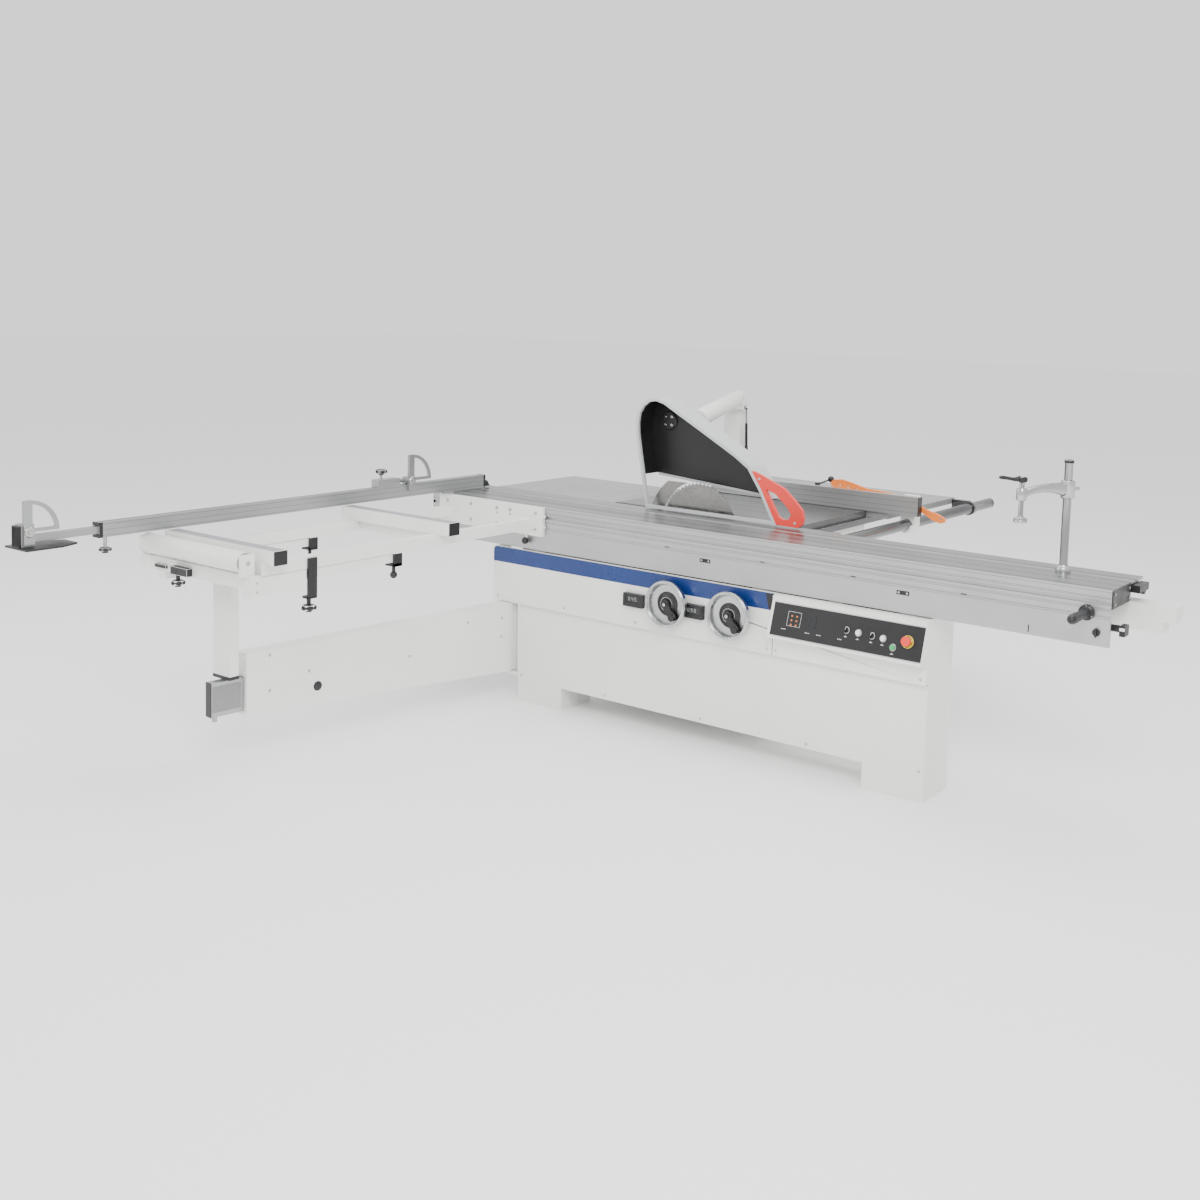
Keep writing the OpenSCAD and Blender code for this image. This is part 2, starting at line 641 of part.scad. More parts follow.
module carriage_fittings() {
    end_t = 4;
    for (x = [carriage_mid - carriage_l / 2 - end_t, carriage_x1])
        color(alu) span([x, x + end_t], [front_y + 2, 92], [box_low, table_h - 1]);
    // Rubber stop under the flange at the operator's end
    color(black) {
        span([carriage_x1, carriage_x1 + 30], [110, 215], [table_h - 38, table_h - flange_t - 2]);
        rod_x([carriage_x1 - 40, carriage_x1 + 30], 170, table_h - 34, 16);
        span([carriage_x1 - 40, carriage_x1], [150, 190], [table_h - 34, table_h - flange_t]);
    }
    // Push handle: flange, grip and rounded end
    color(black) {
        rod_y(handle_x, [front_y - 12, front_y], handle_z, 27);
        rod_y(handle_x, [front_y - 155, front_y - 12], handle_z, 15);
        translate([handle_x, front_y - 155, handle_z]) sphere(15);
    }
    // Carriage lock dial on the apron
    color(black) {
        rod_y(carriage_x1 - 45, [front_y - 7, front_y], table_h - 150, 13);
        span([carriage_x1 - 48, carriage_x1 - 42], [front_y - 13, front_y - 7],
            [table_h - 166, table_h - 134]);
    }
}

// ---- Crosscut frame ----
far_x = near_x - beam_gap;
rail_z = [table_h - 50 - rail_h, table_h - 50];
frame_y0 = front_y - 20 - frame_reach;
frame_y1 = front_y - 20;
bar_t = 60;
bar_ys = [frame_y0 + 5, -734];
post_x = -1209;
post_y0 = -1535;
column_w = 100;
column_d = 40;
module frame_beams() {
    x = [far_x - 53, near_x + 82];
    color(white) {
        for (bx = [near_x, far_x]) span([bx - rail_w / 2, bx + rail_w / 2], [frame_y0, frame_y1], rail_z);
        span([far_x + rail_w / 2, near_x - rail_w / 2], [post_y0 - 34, post_y0 + 34],
            [rail_z[0], rail_z[1] - 6]);
        span([far_x + rail_w / 2, near_x - rail_w / 2], [-700, -660], [rail_z[0], rail_z[1] - 6]);
        for (y = bar_ys) span(x, [y, y + bar_t], [rail_z[1], table_h + 3]);
    }
    // Column under the frame; its foot turns over the swing arm's inner tube
    color(alu) difference() {
        span([post_x - column_w / 2, post_x + column_w / 2], [post_y0 - column_d / 2, post_y0 + column_d / 2],
            [tube_z[1] + 7, rail_z[0]]);
        span([post_x - column_w / 2 + 4, post_x + column_w / 2 - 4],
            [post_y0 - column_d / 2 + 4, post_y0 + column_d / 2 - 4], [tube_z[1], rail_z[0] - 6]);
    }
    frame_clamps();
    frame_bracket();
}
// Star knobs and tee handles that lock the roller extension under the beams
module frame_clamps() {
    color(black) {
        for (x = [near_x, far_x]) {
            span([x - 26, x - 16], [-978, -938], [rail_z[0] - 46, rail_z[0]]);
            span([x + 16, x + 26], [-978, -938], [rail_z[0] - 46, rail_z[0]]);
            span([x - 26, x + 26], [-978, -938], [rail_z[0] - 52, rail_z[0] - 40]);
            rod_z(x, -958, [rail_z[0] - 84, rail_z[0] - 52], 6);
            translate([x, -958, rail_z[0] - 90]) sphere(14);
        }
        knob_y = frame_y0 + 228;
        side = near_x + rail_w / 2;
        span([side, side + 8], [knob_y - 20, knob_y + 20], [rail_z[0] - 112, rail_z[1] - 6]);
        span([near_x - 6, side + 8], [knob_y - 20, knob_y + 20], [rail_z[0] - 112, rail_z[0] - 104]);
        rod_z(near_x + 6, knob_y, [rail_z[0] - 140, rail_z[0] - 112], 7);
        rod_z(near_x + 6, knob_y, [rail_z[0] - 158, rail_z[0] - 140], 24);
    }
}
module frame_bracket() {
    x = [near_x - 572, near_x + 59];
    color(white) {
        difference() {
            span(x, [frame_y1, frame_y1 + 18], [table_h - 130, table_h]);
            for (hx = [-1129, -1050]) rod_y(hx, [frame_y1 - 1, frame_y1 + 20], table_h - 50, 6);
        }
        // Key in the carriage's front slot
        span([x[0] + 30, x[1] - 30], [frame_y1 + 18, front_y + 8], [table_h - 50, table_h - 41]);
    }
    color(black) {
        rod_z(near_x - 40, frame_y1 + 9, [table_h - 150, table_h - 130], 6);
        translate([near_x - 40, frame_y1 + 1, table_h - 158]) sphere(15);
        for (z = [table_h - 40, table_h - 88]) rod_x([x[1], x[1] + 8], frame_y1 + 9, z, 7);
    }
}
module roller_extension() {
    outer = [frame_y0 - 48, frame_y0 - 6];
    ext_z = [rail_z[0] - 36, rail_z[0] - 2];
    roller_z = table_h - 1 - roller_d / 2;
    color(white) {
        difference() {
            span([far_x - 140, near_x + 25], outer, [rail_z[0] - 43, rail_z[0] + 9]);
            span([far_x - 136, near_x + 21], [outer[0] + 4, outer[1] + 1], [rail_z[0] - 44, rail_z[0] + 5]);
        }
        // Roller end brackets
        for (x = [far_x - 86, near_x + 3]) difference() {
            span([x, x + 12], [roller_y - 30, roller_y + 30], [rail_z[0] + 9, roller_z + 30]);
            rod_x([x - 1, x + 13], roller_y, roller_z, 6 + run_fit);
        }
    }
    color(alu) for (x = [near_x, far_x]) {
        span([x - 15, x + 15], [outer[0] + 4, -944], ext_z);
        color(white) difference() {
            span([x - 24, x + 24], [outer[0], frame_y0 + 200], [rail_z[0] - 72, rail_z[0] - 1]);
            span([x - 15, x + 15], [outer[0] + 4, frame_y0 + 201], ext_z);
        }
    }
    color(black) {
        span([-1330, -1230], [outer[0] - 26, outer[0]], [rail_z[0] - 38, rail_z[0] - 8]);
        rod_z(-1300, outer[0] - 13, [rail_z[0] - 60, rail_z[0] - 38], 7);
        rod_z(-1300, outer[0] - 13, [rail_z[0] - 76, rail_z[0] - 60], 22);
        span([-1450, -1380], [outer[0] - 10, outer[0]], [rail_z[0] - 30, rail_z[0] - 16]);
    }
}
roller_y = frame_y0 - 55;
module support_roller() {
    z = table_h - 1 - roller_d / 2;
    color(white) {
        rod_x([far_x - 72, near_x + 1], roller_y, z, roller_d / 2);
        rod_x([far_x - 86, near_x + 15], roller_y, z, 6);
    }
}

// ---- Swing arm ----
hinge_x = -half_l - 65;
hinge_y = -75;
hinge_clear = 110;
hinge_lugs = [[108, 124], [arm_top + 4, arm_top + 12]];
arm_angle = atan2(post_y0 - hinge_y, post_x - hinge_x);
pivot_r = norm([post_x - hinge_x, post_y0 - hinge_y]);
arm_end = pivot_r - 66;
tube_z = [223, 355];
tube_w = 36;
module arm_place() translate([hinge_x, hinge_y, 0]) rotate([0, 0, arm_angle]) children();
module swing_arm() {
    wall = 3;
    low0 = arm_top - arm_h0;
    low1 = arm_top - arm_h1;
    color(white) arm_place() difference() {
        union() {
            translate([0, arm_t / 2, 0]) rotate([90, 0, 0]) linear_extrude(arm_t)
                polygon([[40, low0], [arm_end, low1], [arm_end, arm_top], [40, arm_top]]);
            rod_z(0, 0, [low0, arm_top], 24);
            span([0, 42], [-24, 24], [low0, arm_top]);
        }
        translate([0, arm_t / 2 - wall, 0]) rotate([90, 0, 0]) linear_extrude(arm_t - 2 * wall)
            polygon([[60, low0 + wall + 2], [arm_end - 8, low1 + wall + 1], [arm_end - 8, arm_top - wall],
                [60, arm_top - wall]]);
        rod_z(0, 0, [low0 - 1, arm_top + 1], hinge_pin_d / 2 + run_fit);
        span([arm_end - 20, arm_end + 1], [-tube_w / 2 - eps, tube_w / 2 + eps],
            [tube_z[0] - eps, tube_z[1] + eps]);
    }
}
module inner_arm() {
    end = pivot_r + 72;
    color(alu) arm_place() {
        difference() {
            span([110, end], [-tube_w / 2, tube_w / 2], tube_z);
            span([120, end - 12], [-tube_w / 2 + 4, tube_w / 2 - 4], [tube_z[0] + 4, tube_z[1] - 4]);
        }
        // Glide block inside the arm
        span([110, 200], [-arm_t / 2 + 3 + eps, arm_t / 2 - 3 - eps], [tube_z[0] + 20, tube_z[1] - 20]);
        rod_z(end - 24, 0, [tube_z[0] - 22, tube_z[0]], 10);
    }
}

// ---- Crosscut fence and stops ----
fence_x = [-1510, -1510 + fence_w];
fence_z = [table_h + 7, table_h + 7 + fence_h];
fence_y = [150 - fence_l, 150];
pivot_y = -60;
bar_z = [fence_z[0] + 14, fence_z[1] - 14];
module crosscut_fence() {
    w = fence_w;
    color(alu) {
        difference() {
            span(fence_x, fence_y, fence_z);
            span([fence_x[0] + 12, fence_x[0] + 22], [fence_y[0] - 1, fence_y[1] + 1],
                [fence_z[1] - 6, fence_z[1] + 1]);
            span([fence_x[0] + 8, fence_x[1] - 8], [fence_y[0] - 1, fence_y[0] + 1200], bar_z);
        }
        // Pivot foot on the frame's bracket plate
        rod_z(fence_x[0] + w / 2 + 40, pivot_y - 57, [table_h + eps, table_h + 7], 30);
        span([fence_x[1] - 1, fence_x[1] + 30], [pivot_y - 77, pivot_y - 37], [table_h + 1, table_h + 12]);
    }
    // Sacrificial nose at the blade end
    color(black) {
        span([fence_x[0], fence_x[1]], [fence_y[1], fence_y[1] + 14], fence_z);
        translate([fence_x[0], 0, 0]) rotate([90, 0, 90]) linear_extrude(w - 8)
            polygon([[fence_y[1] + 14, fence_z[0]], [fence_y[1] + 54, fence_z[0]],
                [fence_y[1] + 36, fence_z[0] + 26], [fence_y[1] + 14, fence_z[0] + 26]]);
    }
    color(black) {
        rod_z(fence_x[1] - 12, fence_y[0] + 30, [fence_z[0] - 40, fence_z[0]], 7);
        rod_z(fence_x[1] - 12, fence_y[0] + 30, [fence_z[0] - 52, fence_z[0] - 40], 20);
    }
}
stop_y = -2140;
shoe_z = [table_h + 1, table_h + 8];
module fence_extension() {
    color(alu) span([fence_x[0] + 8 + eps, fence_x[1] - 8 - eps], [stop_y, fence_y[0] + 900],
        [bar_z[0] + eps, bar_z[1] - eps]);
    color(alu) span([fence_x[0], fence_x[1]], [stop_y - 48, stop_y], [shoe_z[1], table_h + 90]);
    color(black) span([fence_x[0] - 50, fence_x[1] + 50], [stop_y - 58, stop_y + 150], shoe_z);
    color(black) span([fence_x[0] - 8, fence_x[1]], [stop_y - 58, stop_y - 48],
        [shoe_z[1], table_h + 84]);
}
// Quarter-round stop plate on a hub, hinged beside its block
module stop_plate(y, z, reach) {
    hub = 20;
    translate([fence_x[1], y, z]) rotate([90, 0, 90]) linear_extrude(12) {
        difference() {
            intersection() { circle(reach, $fn = 96); translate([-hub, 0]) square([reach + hub, reach]); }
            intersection() {
                circle(reach - 14, $fn = 96);
                translate([hub - 8, 12]) square([reach, reach]);
            }
        }
        circle(hub, $fn = 64);
        translate([-hub, -44]) square([2 * hub, 46]);
    }
}
hub_z = table_h + 62;
module end_stop() color(alu) translate([eps, 0, 0]) stop_plate(stop_y - 24, hub_z, 112);
block_y = [-529, -402];
module stop_block() {
    z = fence_z[1] + eps;
    color(alu) {
        span([fence_x[0] - 6, fence_x[1]], block_y, [z, z + 34]);
        span([fence_x[0] - 6, fence_x[0] - eps], block_y, [z - 26, z + 1]);
        span([fence_x[0] + 12 + eps, fence_x[0] + 22 - eps], block_y, [z - 5, z + 1]);
        rod_y(fence_x[0] + 20, [block_y[1], block_y[1] + 100], z + 18, 9);
    }
    color(black) {
        rod_z(fence_x[0] + 17, block_y[0] + 35, [z + 34, z + 62], 6);
        rod_z(fence_x[0] + 17, block_y[0] + 35, [z + 62, z + 78], 24);
    }
}
flip_y = -335;
module flip_stop() {
    z = fence_z[1] + eps + 18;
    color(alu) difference() {
        union() {
            translate([eps, 0, 0]) stop_plate(flip_y, z, 118);
            rod_y(fence_x[0] + 20, [flip_y - 22, flip_y + 22], z, 17);
            span([fence_x[0] + 20, fence_x[1] + 10], [flip_y - 20, flip_y + 20], [z - 8, z + 17]);
        }
        rod_y(fence_x[0] + 20, [flip_y - 80, flip_y + 80], z, 9 + run_fit);
    }
}

// ---- Workpiece clamp on the sliding carriage ----
clamp_x = carriage_x1 - 255;
clamp_y = carriage_edge - 110;
clamp_arm_z = table_h + 270;
clamp_turn = 20;
clamp_bore = clamp_rod_d / 2 + run_fit;
module clamp_place() translate([clamp_x, clamp_y, 0]) rotate([0, 0, -90 - clamp_turn]) children();
module clamp_column() {
    r = clamp_rod_d / 2;
    color(alu) {
        rod_z(clamp_x, clamp_y, [table_h + 16, table_h + clamp_rod_h], r);
        rod_z(clamp_x, clamp_y, [table_h, table_h + 16], r + 12);
    }
    color(black) rod_z(clamp_x, clamp_y, [table_h + clamp_rod_h, table_h + clamp_rod_h + 12], r + 2);
}
boss_top = 44;
module clamp_arm() {
    hub = [clamp_arm_z - 6, clamp_arm_z + 60];
    color(black) clamp_place() difference() {
        union() {
            rod_z(0, 0, hub, clamp_rod_d / 2 + 11);
            span([14, clamp_reach], [-13, 13], [clamp_arm_z + 10, clamp_arm_z + boss_top]);
            rod_z(clamp_reach, 0, [clamp_arm_z + 2, clamp_arm_z + boss_top], 19);
            rod_x([-58, -20], 0, clamp_arm_z + 27, 8);
            rod_x([-74, -58], 0, clamp_arm_z + 27, 20);
        }
        rod_z(0, 0, [hub[0] - 1, hub[1] + 1], clamp_bore);
        rod_z(clamp_reach, 0, [clamp_arm_z, clamp_arm_z + 60], 9 + run_fit);
    }
}
module clamp_screw() clamp_place() {
    color(alu) difference() {
        rod_z(clamp_reach, 0, [clamp_arm_z - 62, clamp_arm_z + 84], 9);
        rod_y(clamp_reach, [-12, 12], clamp_arm_z + 76, 4 + run_fit);
    }
    color(black) rod_z(clamp_reach, 0, [clamp_arm_z - 76, clamp_arm_z - 62], 24);
}
module clamp_lever() color(black) clamp_place() {
    z = clamp_arm_z + 76;
    rod_y(clamp_reach, [-16, 16], z, 4);
    for (y = [[-16, -9.5], [9.5, 16]]) span([clamp_reach - 7, clamp_reach + 34], y, [z - 7, z + 7]);
    span([clamp_reach + 22, clamp_reach + 34], [-16, 16], [z - 7, z + 7]);
    rod_x([clamp_reach + 30, clamp_reach + 118], 0, z, 7);
}

// ---- Guard ----
post_x0 = iron_x0 - 103;
pivot_gx = iron_x0 - 53;
guard_turn = -67.4;
guard_arm_l = 1060;
guard_drop = 1.6;
guard_low = table_h + 5;
module guard_place() translate([pivot_gx, post_y, 0]) rotate([0, 0, guard_turn]) children();
module guard_post() {
    top = arm_pivot_h - 56;
    lug = [guard_arm_d / 2 + 1, guard_arm_d / 2 + 10];
    color(white) {
        difference() {
            span([post_x0, post_x0 + 100], [post_y - 40, post_y + 40], [table_h - 120, top - 12]);
            span([post_x0 + sheet, post_x0 + 96], [post_y - 36, post_y + 36], [table_h - 121, top - 16]);
        }
        guard_place() {
            rod_z(0, 0, [top - 12, top], 60);
            for (y = [lug, [-lug[1], -lug[0]]]) span([-24, 24], y, [top, arm_pivot_h + 24]);
            rod_y(0, [-lug[1], lug[1]], arm_pivot_h, 10);
        }
    }
    // Lower pin of the gas strut
    color(alu) guard_place() rod_y(25, [34, 74], strut_z0, 4);
}
strut_z0 = arm_pivot_h - 255;
strut_z1 = arm_pivot_h - 40;
strut_x = [25, 70];
strut_y = [54, 70];
strut_lean = atan((strut_x[1] - strut_x[0]) / (strut_z1 - strut_z0));
strut_len = norm([strut_x[1] - strut_x[0], strut_z1 - strut_z0]);
module guard_arm() {
    r = guard_arm_d / 2;
    color(white) guard_place() difference() {
        union() {
            translate([0, 0, arm_pivot_h]) rotate([0, guard_drop, 0]) {
                difference() {
                    rod_x([-34, guard_arm_l - 30], 0, 0, r);
                    rod_x([40, guard_arm_l - 40], 0, 0, r - 5);
                }
                span([guard_arm_l - 34, guard_arm_l], [-12, 12], [-16, 16]);
                rod_y(guard_arm_l, [-12, 12], 0, 16);
            }
            span([strut_x[1] - 12, strut_x[1] + 12], [28, 52], [strut_z1 - 12, arm_pivot_h]);
            rod_y(strut_x[1], [50, strut_y[1] + 2], strut_z1, 4);
        }
        rod_y(0, [-r - 2, r + 2], arm_pivot_h, 10 + run_fit);
        translate([0, 0, arm_pivot_h]) rotate([0, guard_drop, 0]) rod_y(guard_arm_l, [-13, 13], 0,
            6 + run_fit);
    }
}
module strut_place() guard_place() translate([strut_x[0], 0, strut_z0]) rotate([0, strut_lean, 0]) children();
module strut_body() color(black) strut_place() difference() {
    union() {
        rod_y(0, [strut_y[0], strut_y[1]], 0, 11);
        rod_z(0, 62, [6, 134], 7);
    }
    rod_y(0, [strut_y[0] - 1, strut_y[1] + 1], 0, 4 + run_fit);
    rod_z(0, 62, [14, 140], 4 + run_fit);
}
module strut_rod() color("silver") strut_place() difference() {
    union() {
        rod_z(0, 62, [40, strut_len - 8], 4);
        rod_y(0, [strut_y[0], strut_y[1]], strut_len, 11);
    }
    rod_y(0, [strut_y[0] - 1, strut_y[1] + 1], strut_len, 4 + 2.6);
}
// Outline of the hood seen from the sliding carriage: place along X and share of the hood's height
hood_line = [[-537, 0], [-560, 0.22], [-584, 0.46], [-603, 0.66], [-606, 0.76], [-598, 0.86], [-576, 0.93],
    [-540, 0.985], [-497, 1], [-450, 0.975], [-378, 0.897], [-265, 0.778], [-152, 0.657], [-70, 0.568],
    [1, 0.475], [60, 0.3], [143, 0]];
function unit(v) = v / norm(v);
function turn(v) = [v[1], -v[0]];
function corner(p, i, d) = let (n = len(p), a = unit(turn(p[i] - p[(i + n - 1) % n])),
    b = unit(turn(p[(i + 1) % n] - p[i]))) p[i] + d * (a + b) / (1 + a * b);
function inset(p, d) = [for (i = [0 : len(p) - 1]) corner(p, i, d)];
hood_edge = [for (p = hood_line) [p[0], guard_low + p[1] * hood_h]];
module hood_slab(y, p) translate([0, y[1], 0]) rotate([90, 0, 0]) linear_extrude(y[1] - y[0]) polygon(p);
hood_y = [blade_y - 55, blade_y - 39];
shell_y1 = hood_y[1] + hood_w - 8;
skirt = [[-640, 1058], [160, 1000]];
trim_h = 10;
module guard_hood() {
    color([0.82, 0.83, 0.84]) {
        difference() {
            hood_slab(hood_y, hood_edge);
            hood_slab([hood_y[0] - 1, hood_y[1] + 1], inset(hood_edge, 14));
        }
        // Light trim along the far panel's lower edge
        intersection() {
            hood_slab([shell_y1 - 10, shell_y1], inset(hood_edge, 9));
            hood_slab([shell_y1 - 10, shell_y1], [skirt[0], skirt[1], skirt[1] - [0, trim_h],
                skirt[0] - [0, trim_h]]);
        }
    }
}
module guard_shell() {
    bracket_z = arm_pivot_h - guard_arm_l * sin(guard_drop);
    bracket_x = guard_arm_l * cos(guard_drop);
    above = [skirt[0], skirt[1], [160, 1500], [-640, 1500]];
    color(black) {
        intersection() {
            difference() {
                hood_slab([hood_y[1], shell_y1], inset(hood_edge, 3));
                hood_slab([hood_y[1] - 1, shell_y1 - 6], inset(hood_edge, 9));
            }
            hood_slab([hood_y[1], shell_y1], above);
        }
        difference() {
            guard_place() {
                for (y = [[-24, -12.3], [12.3, 24]]) {
                    span([bracket_x, bracket_x + 90], y, [bracket_z - 16, bracket_z + 16]);
                    rod_y(bracket_x, y, bracket_z, 16);
                }
                span([bracket_x + 20, bracket_x + 90], [-24, 24], [bracket_z - 16, bracket_z + 16]);
                rod_y(bracket_x, [-24, 24], bracket_z, 6);
            }
            span([pivot_gx, pivot_gx + 900], [0, shell_y1 - 4], [bracket_z - 50, bracket_z + 50]);
        }
    }
}
module guard_handle() {
    p = hood_edge;
    a = len(p) - 3;
    grip = [p[a] * 0.8 + p[a + 1] * 0.2, p[a + 1], p[a + 2] * 0.98 + p[a + 1] * 0.02, [246, 906], [268, 922],
        [273, 950], [264, 982], [226, 1020], [174, 1064], [90, 1098], [32, 1120]];
    hole = [[84, 1052], [134, 1036], [194, 985], [212, 958], [202, 938], [176, 932], [150, 944]];
    color([0.86, 0.11, 0.08]) difference() {
        hood_slab(hood_y, grip);
        hood_slab([hood_y[0] - 1, hood_y[1] + 1], hole);
    }
}

// ---- Rip fence ----
bar_x = iron_x1 + 195;
bar_h = table_h - 43;
bar_y = [blade_y, blade_y + 1618];
face_y = blade_y + rip_rest;
back_face = face_y + 38;
fence_low = table_h + 3;
module guide_bar() {
    side_x1 = iron_x0 + side_l;
    color([0.25, 0.25, 0.27]) {
        rod_y(bar_x, bar_y, bar_h, bar_d / 2);
        // Scale rail along the edge of the cast table
        span([iron_x1, iron_x1 + 20], [table_y0, bar_y[1] - 180], [table_h - 54, table_h - ext_t - 2]);
    }
    color(white) {
        span([iron_x1, bar_x], [table_y0, table_y0 + 28], [bar_h - 16, table_h - 6]);
        rod_y(bar_x, [table_y0, table_y0 + 28], bar_h, bar_d / 2 + 8);
        span([side_x1, bar_x], [side_y[1] - 30, side_y[1]], [bar_h - 16, table_h - 6]);
        rod_y(bar_x, [side_y[1] - 30, side_y[1]], bar_h, bar_d / 2 + 8);
    }
}
key_z = [fence_low + 14, fence_low + 34];
module rip_casting() {
    y = [face_y + 15, back_face + 58];
    color(white) difference() {
        union() {
            rod_y(bar_x, y, bar_h, bar_d / 2 + 11);
            span([bar_x - 34, bar_x + 34], [back_face + eps, y[1]], [bar_h, fence_low + 34]);
            span([bar_x - 34, bar_x + 34], [back_face + 20, y[1]], [fence_low + 33, fence_low + 84]);
            span([bar_x - 60, bar_x + 34], [back_face + eps, y[1]], [fence_low, fence_low + 34]);
            span([bar_x - 60, bar_x + 34], [back_face - 5, back_face + 1], [key_z[0] + eps, key_z[1] - eps]);
        }
        rod_y(bar_x, [y[0] - 1, y[1] + 1], bar_h, bar_d / 2 + run_fit);
        span([bar_x - 80, bar_x + 80], [y[0] - 1, back_face], [bar_h, fence_low - 1]);
    }
    // Clamping knob of the casting
    color(black) {
        rod_y(bar_x, [y[1], y[1] + 24], fence_low + 55, 7);
        rod_y(bar_x, [y[1] + 24, y[1] + 44], fence_low + 55, 22);
    }
}
lever_x = [-75, -400];
module rip_fence() {
    x = [bar_x + 66 - rip_l, bar_x + 66];
    z = [fence_low, fence_low + rip_h];
    color(alu) {
        difference() {
            span(x, [face_y, back_face], z);
            span([x[0] + 3, x[1] - 3], [face_y + 4, back_face - 9], [z[0] + 5, z[1] - 5]);
            span([x[0] - 1, x[1] + 1], [back_face - 5 - eps, back_face + 1], key_z);
        }
        for (lx = lever_x) span([lx - 18, lx + 18], [back_face, back_face + 30], [z[0] + 30, z[1] - 6]);
        for (lx = lever_x) rod_z(lx, back_face + 15, [z[1] - 7, z[1] + 9], 5);
    }
}
module lever_hub(i) difference() {
    rod_z(lever_x[i], back_face + 15, [fence_low + rip_h - 6 + eps, fence_low + rip_h + 9], 12);
    rod_z(lever_x[i], back_face + 15, [fence_low, fence_low + 200], 5 + run_fit);
}
module rip_lever() color(black) {
    lever_hub(0);
    translate([lever_x[0], back_face + 15, fence_low + rip_h + 1]) rotate([0, 68, 35]) {
        translate([0, 0, 10]) cylinder(h = 52, r = 4);
        translate([0, 0, 68]) sphere(15);
    }
}
module cam_lever() color(black) {
    lever_hub(1);
    translate([lever_x[1], back_face + 15, 0]) span([-90, -8], [-8, 8],
        [fence_low + rip_h, fence_low + rip_h + 9]);
}
module push_stick() color([0.95, 0.36, 0.05]) difference() {
    hood_slab([back_face, back_face + 12], [[0, 1004], [14, 1022], [60, 1028], [110, 1018], [190, 998],
        [300, 992], [370, 984], [430, 964], [490, 934], [545, 920], [578, 905], [582, 888], [560, 880],
            [520, 890],
        [470, 918], [410, 952], [350, 960], [240, 962], [130, 966], [60, 970], [20, 984]]);
    for (c = [[50, 1000], [92, 995], [134, 988], [560, 900]]) rod_y(c[0],
        [back_face - 1, back_face + 13], c[1], 6);
}

base_cabinet();
feet();
upper_cover();
colour_band();
control_console();
control_panel();
selector_knob();
mode_knob();
white_button();
reset_button();
start_button();
emergency_stop();
tilt_handwheel();
lift_handwheel();
tilt_crank();
lift_crank();
main_body();
cast_table();
extension_tables();
guide_beam();
tilt_frame();
arbor_housing();
main_motor();
saw_arbor();
main_blade();
motor_pulley();
drive_belt();
riving_knife();
scoring_motor();
scoring_blade();
roller_cage();
sliding_carriage();
carriage_fittings();
frame_beams();
roller_extension();
support_roller();
swing_arm();
inner_arm();
crosscut_fence();
fence_extension();
end_stop();
stop_block();
flip_stop();
clamp_column();
clamp_arm();
clamp_screw();
clamp_lever();
guard_post();
guard_arm();
guard_hood();
guard_shell();
guard_handle();
strut_body();
strut_rod();
guide_bar();
rip_casting();
rip_fence();
rip_lever();
cam_lever();
push_stick();
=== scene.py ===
import bpy, bmesh, math
from mathutils import Matrix, Vector


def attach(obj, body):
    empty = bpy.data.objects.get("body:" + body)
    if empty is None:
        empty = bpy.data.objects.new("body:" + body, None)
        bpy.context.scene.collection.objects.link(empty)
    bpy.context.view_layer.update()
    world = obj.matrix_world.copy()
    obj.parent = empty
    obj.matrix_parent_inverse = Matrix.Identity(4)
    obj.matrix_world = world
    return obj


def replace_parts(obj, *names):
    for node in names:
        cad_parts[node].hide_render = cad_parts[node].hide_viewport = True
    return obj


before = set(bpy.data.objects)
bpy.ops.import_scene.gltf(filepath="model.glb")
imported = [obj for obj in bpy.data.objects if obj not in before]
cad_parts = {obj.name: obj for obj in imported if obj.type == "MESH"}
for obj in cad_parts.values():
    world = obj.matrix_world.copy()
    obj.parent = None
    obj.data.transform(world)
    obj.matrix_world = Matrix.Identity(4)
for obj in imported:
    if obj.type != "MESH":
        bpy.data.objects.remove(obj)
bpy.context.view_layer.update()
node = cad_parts

# Studio: a wide pale floor that runs up into a plain white backdrop, lit by large soft lamps overhead and
# from both sides. Nothing of it belongs to the saw.
world = bpy.data.worlds.new("studio_air")
bpy.context.scene.world = world
world.use_nodes = True
world.node_tree.nodes["Background"].inputs["Color"].default_value = (1.0, 1.0, 1.0, 1)
world.node_tree.nodes["Background"].inputs["Strength"].default_value = 1.35
floor_mesh = bmesh.new()
bmesh.ops.create_grid(floor_mesh, x_segments=2, y_segments=2, size=40)
floor_data = bpy.data.meshes.new("studio_floor")
floor_mesh.to_mesh(floor_data)
studio_floor = bpy.data.objects.new("studio_floor", floor_data)
bpy.context.collection.objects.link(studio_floor)
floor_paint = bpy.data.materials.new("studio_floor_paint")
floor_paint.use_nodes = True
floor_paint.node_tree.nodes["Principled BSDF"].inputs["Base Color"].default_value = (0.96, 0.96, 0.96, 1)
floor_paint.node_tree.nodes["Principled BSDF"].inputs["Roughness"].default_value = 0.7
floor_data.materials.append(floor_paint)


def soft_lamp(name, at, towards, size, watts):
    lamp = bpy.data.lights.new(name, "AREA")
    lamp.shape = "RECTANGLE"
    lamp.size, lamp.size_y = size
    lamp.energy = watts
    holder = bpy.data.objects.new(name, lamp)
    bpy.context.collection.objects.link(holder)
    holder.location = at
    holder.rotation_euler = (Vector(towards) - Vector(at)).to_track_quat("-Z", "Y").to_euler()


soft_lamp("key_lamp", (3.5, -4.5, 4.6), (0, -0.2, 0.6), (2.6, 2.6), 330)
soft_lamp("side_lamp", (-4.5, -4.0, 3.4), (-0.6, -0.4, 0.7), (3.0, 3.0), 90)
soft_lamp("top_lamp", (0.2, 1.0, 5.2), (0, 0, 0.6), (5.0, 4.0), 190)

